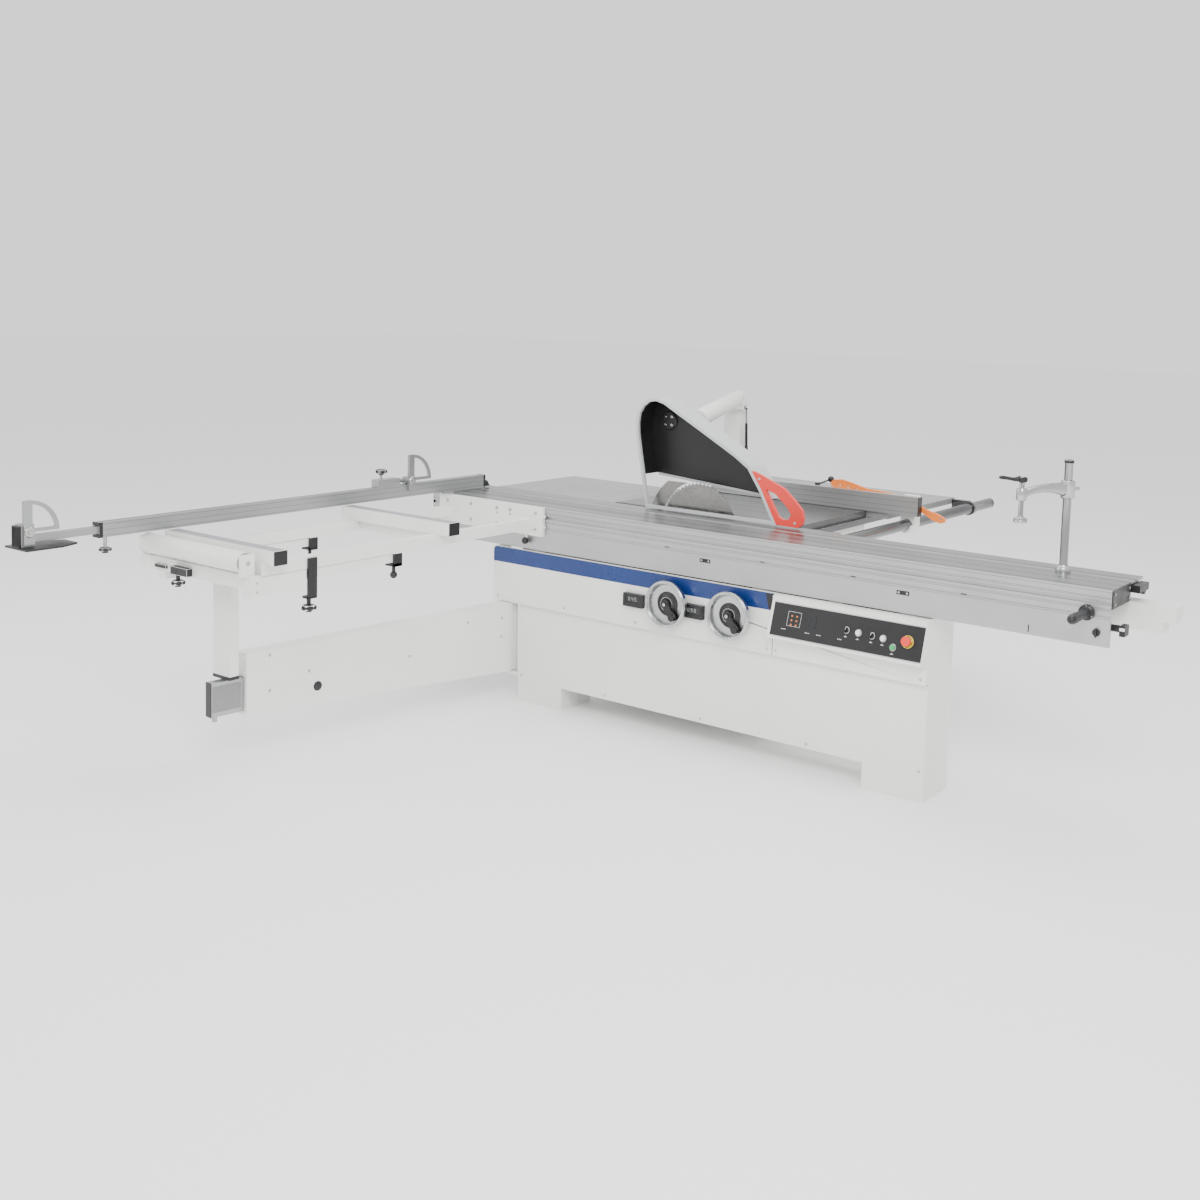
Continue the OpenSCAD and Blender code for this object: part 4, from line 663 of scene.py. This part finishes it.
# Latch at the right end of the guide beam, moulded in black, and the black stop block on its rod.
def beam_latch(shape):
    block(shape, (1.5992, 1.6168), (-0.0768, -0.0392), (0.7072, 0.7708))
    turned(shape, (1.6160, -0.056, 0.764), (1, 0, 0), [(0, 0.0124), (0.0545, 0.0124)], 32)
    block(shape, (1.6692, 1.6888), (-0.0668, -0.0192), (0.7392, 0.7768))


mesh_piece("beam_latch", beam_latch, black_moulding, "base", 0.0012)


def beam_end_screws(shape):
    for y, z in ((-0.060, 0.784), (0.030, 0.742), (0.030, 0.784)):
        turned(shape, (1.5998, y, z), (1, 0, 0), [(0, 0.0055), (0.0018, 0.0055), (0.0028, 0.004)], 6)
    for x in (0.66, 0.95, 1.25, 1.55, 1.74):
        turned(shape, (x, 0.2002, 0.800), (0, 1, 0), [(0, 0.006), (0.002, 0.006), (0.003, 0.0045)], 6)


mesh_piece("beam_end_screws", beam_end_screws, plated_steel, "base", 0.0)

# Clamp: a chromed column with a black cap, its chrome coloured darker than bright chrome as painted shade, and a cast
# aluminium arm that thickens at its hub, bows over and ends in an upright boss for the screw. A black knob locks the
# hub.
clamp_foot = Vector((1.395, 0.135, 0))
clamp_way = Vector((-0.342, -0.9397, 0)).normalized()
clamp_side = Vector((-clamp_way.y, clamp_way.x, 0))
# Painted shade: the chrome's colour is set well below bright chrome, so the column, clamp screw, strut rod and boss
# bolts come out shaded.
chrome = finish("chrome_darkened_as_painted_shade", (0.36, 0.36, 0.37), (0.31, 0.31, 0.32), 1.0, 0.13, 900, 0.00001, wear=0.04)
dress(chrome, "clamp_column", "clamp_screw")
dress(bright_aluminium, "clamp_arm")
dress(black_moulding, "clamp_lever")


def collar(shape, start, along, profile, sides=48):
    """A turned ring with an open bore: the profile closes on itself."""
    along = Vector(along).normalized()
    across = along.orthogonal().normalized()
    other = along.cross(across)
    rings = [[shape.verts.new(Vector(start) + along * reach + radius * (across * math.cos(a) + other * math.sin(a)))
              for a in (2 * math.pi * k / sides for k in range(sides))] for reach, radius in profile]
    for low, high in zip(rings, rings[1:] + rings[:1]):
        for k in range(sides):
            shape.faces.new((low[k], low[(k + 1) % sides], high[(k + 1) % sides], high[k]))


def loft(shape, stations, way, side, corners=20, square=2.6):
    """A solid skinned through rounded sections: each is (middle point, half width, half height)."""
    rings = []
    for middle, wide, tall in stations:
        ring = []
        for k in range(corners):
            a = 2 * math.pi * k / corners
            c, q = math.cos(a), math.sin(a)
            across = math.copysign(abs(c) ** (2 / square), c) * wide
            rise = math.copysign(abs(q) ** (2 / square), q) * tall
            ring.append(shape.verts.new(middle + side * across + Vector((0, 0, rise))))
        rings.append(ring)
    for low, high in zip(rings, rings[1:]):
        for k in range(corners):
            shape.faces.new((low[k], low[(k + 1) % corners], high[(k + 1) % corners], high[k]))
    shape.faces.new(rings[0])
    shape.faces.new(rings[-1])


def cast_arm(shape):
    collar(shape, clamp_foot + Vector((0, 0, 1.164)), (0, 0, 1),
           [(0, 0.0153), (0, 0.023), (0.004, 0.026), (0.062, 0.026), (0.066, 0.0225), (0.066, 0.0153)])
    tip = clamp_foot + clamp_way * 0.245
    collar(shape, tip + Vector((0, 0, 1.172)), (0, 0, 1),
           [(0, 0.0092), (0, 0.016), (0.004, 0.0188), (0.038, 0.0188), (0.042, 0.0165), (0.042, 0.0092)])
    bow = ((0.0165, 1.1980, 0.0150, 0.0245), (0.040, 1.2010, 0.0150, 0.0230), (0.070, 1.2050, 0.0138, 0.0195),
           (0.105, 1.2080, 0.0130, 0.0165), (0.140, 1.2085, 0.0130, 0.0150), (0.175, 1.2060, 0.0130, 0.0142),
           (0.205, 1.2010, 0.0132, 0.0140), (0.225, 1.1960, 0.0135, 0.0150), (0.2350, 1.1930, 0.0120, 0.0155))
    loft(shape, [(clamp_foot + clamp_way * s + Vector((0, 0, z)), w, h) for s, z, w, h in bow], clamp_way, clamp_side)
    turned(shape, clamp_foot - clamp_way * 0.0160 + Vector((0, 0, 1.197)), -clamp_way,
           [(0, 0.0125), (0.014, 0.0110), (0.014, 0.0080), (0.0425, 0.0080)], 32)


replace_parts(mesh_piece("cast_clamp_arm", cast_arm, bright_aluminium, "clamp_arm", 0.0,
                       smooth=True), "clamp_arm")


def column_cap(shape):
    turned(shape, clamp_foot + Vector((0, 0, 1.2935)), (0, 0, 1),
           [(0, 0.0174), (0.008, 0.0176), (0.0122, 0.0150), (0.0130, 0.0)], 40)


def column_collar(shape):
    collar(shape, clamp_foot + Vector((0, 0, 0.9004)), (0, 0, 1),
           [(0, 0.0153), (0, 0.0285), (0.012, 0.0285), (0.0155, 0.026), (0.0170, 0.021), (0.0215, 0.019),
            (0.0215, 0.0153)])


mesh_piece("clamp_column_cap", column_cap, black_moulding, "carriage", 0.0, smooth=True)
mesh_piece("clamp_column_collar", column_collar, bright_aluminium, "carriage", 0.0, smooth=True)


def eccentric_lever(shape):
    pin = clamp_foot + clamp_way * 0.245 + Vector((0, 0, 1.246))
    for side in (-0.0128, 0.0128):
        turned(shape, pin + clamp_side * (side - 0.0032), clamp_side,
               [(0, 0.0095), (0.0005, 0.0100), (0.0059, 0.0100), (0.0064, 0.0095)], 32)
        loft(shape, [(pin + clamp_way * 0.004 + clamp_side * side, 0.0031, 0.0092),
                     (pin + clamp_way * 0.030 + clamp_side * side, 0.0031, 0.0070)], clamp_way, clamp_side, 16, 4)
    grip = ((0.024, 0.000, 0.0158, 0.0068), (0.036, 0.0012, 0.0140, 0.0070), (0.052, 0.0035, 0.0090, 0.0062),
            (0.072, 0.0070, 0.0080, 0.0060), (0.094, 0.0105, 0.0090, 0.0068), (0.109, 0.0120, 0.0080, 0.0062),
            (0.1175, 0.0125, 0.0040, 0.0032))
    loft(shape, [(pin + clamp_way * s + Vector((0, 0, z)), w, h) for s, z, w, h in grip], clamp_way, clamp_side)
    turned(shape, pin - clamp_side * 0.0168, clamp_side, [(0, 0.0042), (0.0336, 0.0042)], 24)


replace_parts(mesh_piece("eccentric_lever", eccentric_lever, black_moulding, "clamp_lever", 0.0,
                       smooth=True), "clamp_lever")


def clamp_pad(shape):
    tip = clamp_foot + clamp_way * 0.245
    turned(shape, tip + Vector((0, 0, 1.0938)), (0, 0, 1),
           [(0, 0.0232), (0.003, 0.0244), (0.009, 0.0244), (0.0135, 0.021), (0.0185, 0.0132), (0.0215, 0.0120)], 40)


mesh_piece("clamp_pad", clamp_pad, bright_aluminium, "clamp_screw", 0.0, smooth=True)

# Crosscut fence: aluminium profile with a black moulded nose at the blade end, a black joint piece where the
# extension bar slides out, a length scale along its top and fine extrusion lines on its faces.
dress(anodised_y, "crosscut_fence", "end_stop", "stop_block", "flip_stop")


def fence_nose(shape):
    block(shape, (-1.5106, -1.4694), (0.1496, 0.1646), (0.9064, 0.9636))
    outline = [(0.1640, 0.9066), (0.2046, 0.9066), (0.1868, 0.9336), (0.1640, 0.9336)]
    near_side = [shape.verts.new((-1.5106, y, z)) for y, z in outline]
    far_side = [shape.verts.new((-1.4774, y, z)) for y, z in outline]
    shape.faces.new(near_side)
    shape.faces.new(far_side)
    for k in range(4):
        shape.faces.new((near_side[k], near_side[(k + 1) % 4], far_side[(k + 1) % 4], far_side[k]))


def fence_joint(shape):
    block(shape, (-1.5108, -1.4692), (-1.8930, -1.8895), (0.9500, 0.9636))
    block(shape, (-1.5108, -1.4692), (-1.8930, -1.8895), (0.9064, 0.9200))
    block(shape, (-1.4701, -1.4688), (-1.8900, -1.8760), (0.9064, 0.9636))


mesh_piece("fence_nose", fence_nose, black_moulding, "fence", 0.0015)
mesh_piece("fence_end_joint", fence_joint, black_moulding, "fence")


def fence_lines(shape):
    for z in (0.9140, 0.9350, 0.9560):
        block(shape, (-1.4702, -1.4696), (-1.8740, 0.1490), (z, z + 0.0008))
    for k in range(190):
        y = -1.850 + k * 0.010
        if -0.540 < y < -0.395:
            continue
        long = 0.0075 if k % 10 == 0 else 0.0055 if k % 5 == 0 else 0.0035
        block(shape, (-1.4704 - long, -1.4704), (y - 0.0003, y + 0.0003), (0.9628, 0.96315))


mesh_piece("fence_lines_and_scale", fence_lines, dark_joint_and_shadow_line, "fence", 0.0)

# Fence extension: an aluminium bar with a machined end block, over a black base shoe with a pointed toe and a
# black ribbed back plate, both screwed to the block.
dress(anodised_y, "fence_extension")


def extension_bar(shape):
    block(shape, (-1.5017, -1.4783), (-2.1410, -0.9900), (0.9213, 0.9487))
    block(shape, (-1.5100, -1.4700), (-2.1880, -2.1400), (0.9080, 0.9900))


def extension_shoe(shape):
    outline = [(-1.5600, -2.1980), (-1.4200, -2.1980), (-1.4200, -2.0600), (-1.4480, -1.9900), (-1.5320, -1.9900),
               (-1.5600, -2.0600)]
    low = [shape.verts.new((x, y, 0.9010)) for x, y in outline]
    high = [shape.verts.new((x, y, 0.9080)) for x, y in outline]
    shape.faces.new(low)
    shape.faces.new(high)
    for k in range(6):
        shape.faces.new((low[k], low[(k + 1) % 6], high[(k + 1) % 6], high[k]))
    block(shape, (-1.5180, -1.4700), (-2.1962, -2.1880), (0.9080, 0.9840))
    for rib in range(6):
        x = -1.5150 + rib * 0.0080
        block(shape, (x, x + 0.0034), (-2.1980, -2.1960), (0.9120, 0.9800))


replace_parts(mesh_piece("extension_bar", extension_bar, anodised_y, "fence_extension", 0.0010),
            "fence_extension")
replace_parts(mesh_piece("extension_shoe", extension_shoe, black_moulding, "fence_extension", 0.0008),
            "fence_extension")


def extension_block_parts(shape):
    for y in (-2.180, -2.152):
        turned(shape, (-1.490, y, 0.9898), (0, 0, 1), [(0, 0.0055), (0.002, 0.0055), (0.003, 0.004)], 6)
    turned(shape, (-1.5102, -2.164, 0.945), (-1, 0, 0), [(0, 0.009), (0.002, 0.009), (0.003, 0.007)], 6)


mesh_piece("extension_block_screws", extension_block_parts, plated_steel, "fence_extension", 0.0)
for name, y, z in (("end_stop", -2.164, 0.962), ("flip_stop", -0.335, 0.9813)):
    def stop_hub(shape, y=y, z=z):
        turned(shape, (-1.4580, y, z), (1, 0, 0), [(0, 0.0185), (0.0035, 0.0185), (0.0060, 0.0160), (0.0060, 0.0090),
                                                  (0.0090, 0.0080), (0.0090, 0.0)], 40)
        turned(shape, (-1.4494, y, z), (1, 0, 0), [(0, 0.0055), (0.0030, 0.0055), (0.0038, 0.0040)], 6)

    mesh_piece(name + "_hub", stop_hub, plated_steel, name, 0.0, smooth=True)

# Swing arm: pressed panel with rows of cap screws at both ends and a round black plug in its side.
def arm_screws(shape):
    for along, z in ((0.10, 0.385), (0.10, 0.300), (0.30, 0.395), (0.62, 0.300), (1.12, 0.330), (1.30, 0.285),
                     (1.30, 0.425)):
        for side in (-1, 1):
            at = hinge + arm_way * along + arm_side * (side * 0.0349) + Vector((0, 0, z))
            turned(shape, at, arm_side * side, [(0, 0.0062), (0.0016, 0.0062), (0.0026, 0.0046)], 24)


def arm_plug(shape):
    for side in (-1, 1):
        at = hinge + arm_way * 1.08 + arm_side * (side * 0.0348) + Vector((0, 0, 0.262))
        turned(shape, at, arm_side * side, [(0, 0.0195), (0.0016, 0.0195), (0.0030, 0.0165), (0.0030, 0.0)], 40)


def arm_end_box(shape):
    arm_box(shape, (1.4150, 1.5340), (-0.0190, -0.0181), (0.2400, 0.3400))
    arm_box(shape, (1.4150, 1.5340), (0.0181, 0.0190), (0.2400, 0.3400))


mesh_piece("arm_screws", arm_screws, plated_steel, "swing_arm", 0.0, smooth=True)
mesh_piece("arm_plug", arm_plug, black_moulding, "swing_arm", 0.0, smooth=True)
mesh_piece("inner_tube_slides", arm_end_box, carriage_mid, "inner_arm", 0.0004)

# Guard: a round boss with bright bolts inside the far panel, and the two screws of the red handle.
hood_rim = finish("hood_rim_moulding", (0.50, 0.51, 0.52), (0.46, 0.47, 0.48), 0.0, 0.35, 800, 0.00005)
dress(hood_rim, "guard_hood")
dress(red_moulding, "guard_handle")
dress(white_coat, "guard_arm")
dress(black_moulding, "strut_body")
dress(chrome, "strut_rod")
guard_moulding = finish("guard_moulding", (0.006, 0.006, 0.007), (0.009, 0.009, 0.010), 0.0, 0.42, 1400, 0.00008)


def light_outside(material, middle, colour):
    """Paints the faces that look away from a middle line along Y in a second colour, as on a two-shot moulding."""
    tree = material.node_tree
    place = tree.nodes.new("ShaderNodeTexCoord")
    away = tree.nodes.new("ShaderNodeVectorMath")
    away.operation = "SUBTRACT"
    away.inputs[1].default_value = (middle[0], 0, middle[1])
    flat = tree.nodes.new("ShaderNodeVectorMath")
    flat.operation = "MULTIPLY"
    flat.inputs[1].default_value = (1, 0, 1)
    facing = tree.nodes.new("ShaderNodeVectorMath")
    facing.operation = "DOT_PRODUCT"
    outside = tree.nodes.new("ShaderNodeMath")
    outside.operation = "GREATER_THAN"
    outside.inputs[1].default_value = 0.01
    both = tree.nodes.new("ShaderNodeMix")
    both.data_type = "RGBA"
    both.inputs["B"].default_value = (*colour, 1)
    tree.links.new(place.outputs["Object"], away.inputs[0])
    tree.links.new(away.outputs["Vector"], flat.inputs[0])
    tree.links.new(flat.outputs["Vector"], facing.inputs[0])
    tree.links.new(place.outputs["Normal"], facing.inputs[1])
    tree.links.new(facing.outputs["Value"], outside.inputs[0])
    tree.links.new(outside.outputs["Value"], both.inputs["Factor"])
    shader = tree.nodes["Principled BSDF"]
    tree.links.new(shader.inputs["Base Color"].links[0].from_socket, both.inputs["A"])
    tree.links.new(both.outputs["Result"], shader.inputs["Base Color"])


light_outside(guard_moulding, (-0.42, 1.20), (0.50, 0.51, 0.52))
dress(guard_moulding, "guard_shell")


def guard_boss(shape):
    turned(shape, (-0.505, 0.3286, 1.292), (0, -1, 0),
           [(0, 0.043), (0.004, 0.043), (0.0075, 0.039), (0.0075, 0.0)], 48)


def guard_boss_bolts(shape):
    for k in range(4):
        a = math.radians(45 + 90 * k)
        turned(shape, (-0.505 + 0.026 * math.cos(a), 0.3212, 1.292 + 0.026 * math.sin(a)), (0, -1, 0),
               [(0, 0.0085), (0.002, 0.0085), (0.0045, 0.0062), (0.0045, 0.0)], 20)


def handle_screws(shape):
    for x, z in ((0.052, 1.093), (0.232, 0.925)):
        turned(shape, (x, 0.2072, z), (0, -1, 0), [(0, 0.0065), (0.0014, 0.0062), (0.0024, 0.0045), (0.0012, 0.003),
                                                  (0.0012, 0.0)], 32)


mesh_piece("guard_boss", guard_boss, black_moulding, "hood", 0.0, smooth=True)
mesh_piece("guard_boss_bolts", guard_boss_bolts, chrome, "hood", 0.0, smooth=True)
mesh_piece("handle_screws", handle_screws, plated_steel, "hood", 0.0, smooth=True)

# Control console: amber indicator lamps, a dark display window and small pale generic marks printed on the black
# panel.
amber_lens = finish("amber_lens", (0.85, 0.22, 0.02), (0.7, 0.16, 0.015), 0.0, 0.2, 900, 0.00001)


def panel_lamps(shape):
    for row in range(3):
        for column in range(2):
            turned(shape, on_panel(0.098 + column * 0.022, 0.058 + row * 0.017, -0.0003), panel_out,
                   [(0, 0.0034), (0.0010, 0.0034), (0.0018, 0.0022), (0.0020, 0.0)], 24)


def panel_tile(shape, along, rise, proud):
    low = [shape.verts.new(on_panel(x, z, -0.0002)) for x, z in
           ((along[0], rise[0]), (along[1], rise[0]), (along[1], rise[1]), (along[0], rise[1]))]
    high = [shape.verts.new(v.co + panel_out * proud) for v in low]
    shape.faces.new(high)
    shape.faces.new(low)
    for k in range(4):
        shape.faces.new((low[k], low[(k + 1) % 4], high[(k + 1) % 4], high[k]))


def panel_marks(shape):
    for along in (0.060, 0.165, 0.215, 0.305):
        for step in range(3):
            panel_tile(shape, (along + step * 0.007, along + 0.004 + step * 0.007), (0.036, 0.0385), 0.0006)
    for name, (along, rise) in panel_controls.items():
        if name != "emergency_stop":
            panel_tile(shape, (along - 0.006, along + 0.006), (rise - 0.0260, rise - 0.0243), 0.0006)
            panel_tile(shape, (along - 0.0012, along + 0.0012), (rise - 0.0230, rise - 0.0206), 0.0006)
    for rise in (0.052, 0.108):
        panel_tile(shape, (0.080, 0.138), (rise, rise + 0.0008), 0.0005)
    for along in (0.080, 0.1372):
        panel_tile(shape, (along, along + 0.0008), (0.052, 0.1088), 0.0005)


def display_window(shape):
    panel_tile(shape, (0.176, 0.206), (0.060, 0.104), 0.0014)


mesh_piece("panel_lamps", panel_lamps, amber_lens, "base", 0.0, smooth=True)
mesh_piece("panel_marks", panel_marks, white_moulding, "base", 0.0)
mesh_piece("panel_display", display_window, window_glass, "base", 0.0)

# Rip fence: black end caps on the fence profile and the guide bar, fine lines along the profile's face, and a scale
# with fine divisions along the guide rail. Its black knob is made with the other knobs.
dark_bar = finish("hard_chromed_bar", (0.16, 0.16, 0.165), (0.13, 0.13, 0.135), 1.0, 0.22, 600, 0.00002,
                  stretch=(1, 0.03, 1))
dress(dark_bar, "guide_bar")
dress(anodised, "rip_fence")
dress(white_coat, "rip_casting")
dress(black_moulding, "rip_lever", "cam_lever")
orange_moulding = finish("orange_moulding", (0.90, 0.23, 0.03), (0.80, 0.19, 0.025), 0.0, 0.42, 900, 0.00006)
dress(orange_moulding, "push_stick")


def rip_caps(shape):
    for x in ((-0.6366, -0.6338), (0.4658, 0.4686)):
        block(shape, x, (0.8896, 0.9284), (0.9026, 0.9894))


def rip_lines(shape):
    for z in (0.9180, 0.9400, 0.9650):
        block(shape, (-0.6330, 0.4650), (0.8896, 0.8902), (z, z + 0.0010))


def rail_scale(shape):
    for k in range(140):
        y = 0.285 + k * 0.010
        long = 0.012 if k % 10 == 0 else 0.009 if k % 5 == 0 else 0.006
        block(shape, (0.2238 - long, 0.2238), (y - 0.0004, y + 0.0004), (0.8699, 0.8703))


mesh_piece("rip_fence_end_caps", rip_caps, black_moulding, "rip_fence")
mesh_piece("rip_fence_lines", rip_lines, dark_joint_and_shadow_line, "rip_fence", 0.0)
mesh_piece("rail_scale_marks", rail_scale, white_moulding, "base", 0.0)


def bar_end_caps(shape):
    for y, way in ((1.8800, 1), (0.2620, -1)):
        turned(shape, (0.400, y - way * 0.0004, 0.857), (0, way, 0),
               [(0, 0.0254), (0.0004, 0.0246), (0.0004, 0.0)], 40)


mesh_piece("guide_bar_end_caps", bar_end_caps, black_moulding, "base", 0.0, smooth=True)

# Tables: the main table is ground grey cast iron, and the two extension tables are folded steel with a grey coat.
ground_iron = finish("ground_iron", (0.17, 0.17, 0.172), (0.14, 0.14, 0.142), 0.8, 0.33, 1100, 0.00004,
                     stretch=(0.03, 1, 1))
dress(ground_iron, "cast_table")
grey_sheet = finish("grey_sheet_coat", (0.33, 0.335, 0.335), (0.29, 0.295, 0.295), 0.4, 0.42, 800, 0.00005)
dress(grey_sheet, "extension_tables")

# Saw unit under the table: dark painted castings and motors, bright steel blades, arbor, pulley and riving
# knife, and a black rubber belt. The roller cage of the sliding carriage has the same dark finish.
dark_casting = finish("dark_casting_paint", (0.10, 0.105, 0.115), (0.07, 0.075, 0.08), 0.1, 0.5, 300, 0.0003)
dress(dark_casting, "tilt_frame", "arbor_housing", "scoring_motor", "roller_cage", "main_motor")
bright_steel = finish("bright_steel", (0.34, 0.335, 0.325), (0.27, 0.265, 0.255), 1.0, 0.26, 1500, 0.00003)
dress(bright_steel, "saw_arbor", "riving_knife", "motor_pulley")
dress(bright_steel, "main_blade", "scoring_blade", soft=0)
belt_rubber = finish("belt_rubber", (0.02, 0.02, 0.02), (0.03, 0.03, 0.03), 0.0, 0.7, 900, 0.0002)
dress(belt_rubber, "drive_belt", soft=0)

# Back of the machine: two lift-off service doors with folded edges, quarter-turn locks and louvred vents that
# let the motor's cooling air out.
body_right, body_rear = 0.200, 0.905


def service_doors(shape):
    for x in ((-0.715, -0.405), (-0.195, 0.165)):
        block(shape, x, (body_rear - 0.0004, body_rear + 0.0016), (0.400, 0.800))
    block(shape, (-0.405, -0.195), (body_rear - 0.0004, body_rear + 0.0016), (0.400, 0.800))
    block(shape, (body_right - 0.0004, body_right + 0.0016), (0.180, 0.830), (0.140, 0.800))


def vents(shape):
    for row in range(9):
        z = 0.560 + row * 0.020
        block(shape, (-0.690, -0.430), (body_rear + 0.0014, body_rear + 0.0019), (z, z + 0.007))
        block(shape, (body_right + 0.0014, body_right + 0.0019), (0.300, 0.560), (z - 0.25, z - 0.243))


def door_locks(shape):
    for x, z in ((-0.440, 0.760), (-0.440, 0.440), (0.130, 0.760), (0.130, 0.440), (-0.160, 0.760), (-0.160, 0.440)):
        turned(shape, (x, body_rear + 0.0014, z), (0, 1, 0),
               [(0, 0.010), (0.002, 0.010), (0.003, 0.0085), (0.0018, 0.006), (0.0018, 0.0)], 32)
    for y, z in ((0.210, 0.760), (0.210, 0.180), (0.800, 0.760), (0.800, 0.180)):
        turned(shape, (body_right + 0.0014, y, z), (1, 0, 0), [(0, 0.010), (0.002, 0.010), (0.003, 0.0085),
                                                              (0.0018, 0.006), (0.0018, 0.0)], 32)


mesh_piece("service_doors", service_doors, white_coat, "base", 0.0006)
mesh_piece("service_vents", vents, dark_joint_and_shadow_line, "base", 0.0)
mesh_piece("service_door_locks", door_locks, black_moulding, "base", 0.0, smooth=True)

# Guard post: plated hexagon bolts hold its foot to the back of the body.
def post_bolts(shape):
    for x in (-0.832, -0.768):
        for z in (0.802, 0.848):
            hexagon_bolt(shape, (x, 1.3152, z), (0, -1, 0), 0.0065)


mesh_piece("post_bolts", post_bolts, plated_steel, "base", 0.0003)


# Roller extension: plated nuts on both ends of the roller's axle, and screws in the extension's two beams.
def roller_extension_screws(shape):
    for x in (near_beam, far_beam):
        for z in (0.752, 0.786):
            turned(shape, (x + 0.0242, -1.640, z), (1, 0, 0), [(0, 0.0045), (0.0016, 0.0045), (0.0024, 0.0034)], 20)
    for x, way in ((-1.5062, -1), (-0.9028, 1)):
        turned(shape, (x, -1.673, 0.861), (way, 0, 0), [(0, 0.0092), (0.003, 0.0092), (0.0042, 0.0072)], 6)


mesh_piece("roller_axle_nuts", roller_extension_screws, plated_steel, "roller_extension", 0.0)


# Crosscut frame: pairs of plated screws hold the cross bars down on the two beams.
def frame_screws(shape):
    for x in (near_beam, far_beam):
        for y in (-1.583, -0.704):
            for side in (-0.011, 0.011):
                turned(shape, (x + side, y + 0.006, 0.9030), (0, 0, 1),
                       [(0, 0.0048), (0.0012, 0.0048), (0.0018, 0.0034)], 20)


mesh_piece("cross_bar_screws", frame_screws, plated_steel, "frame", 0.0)
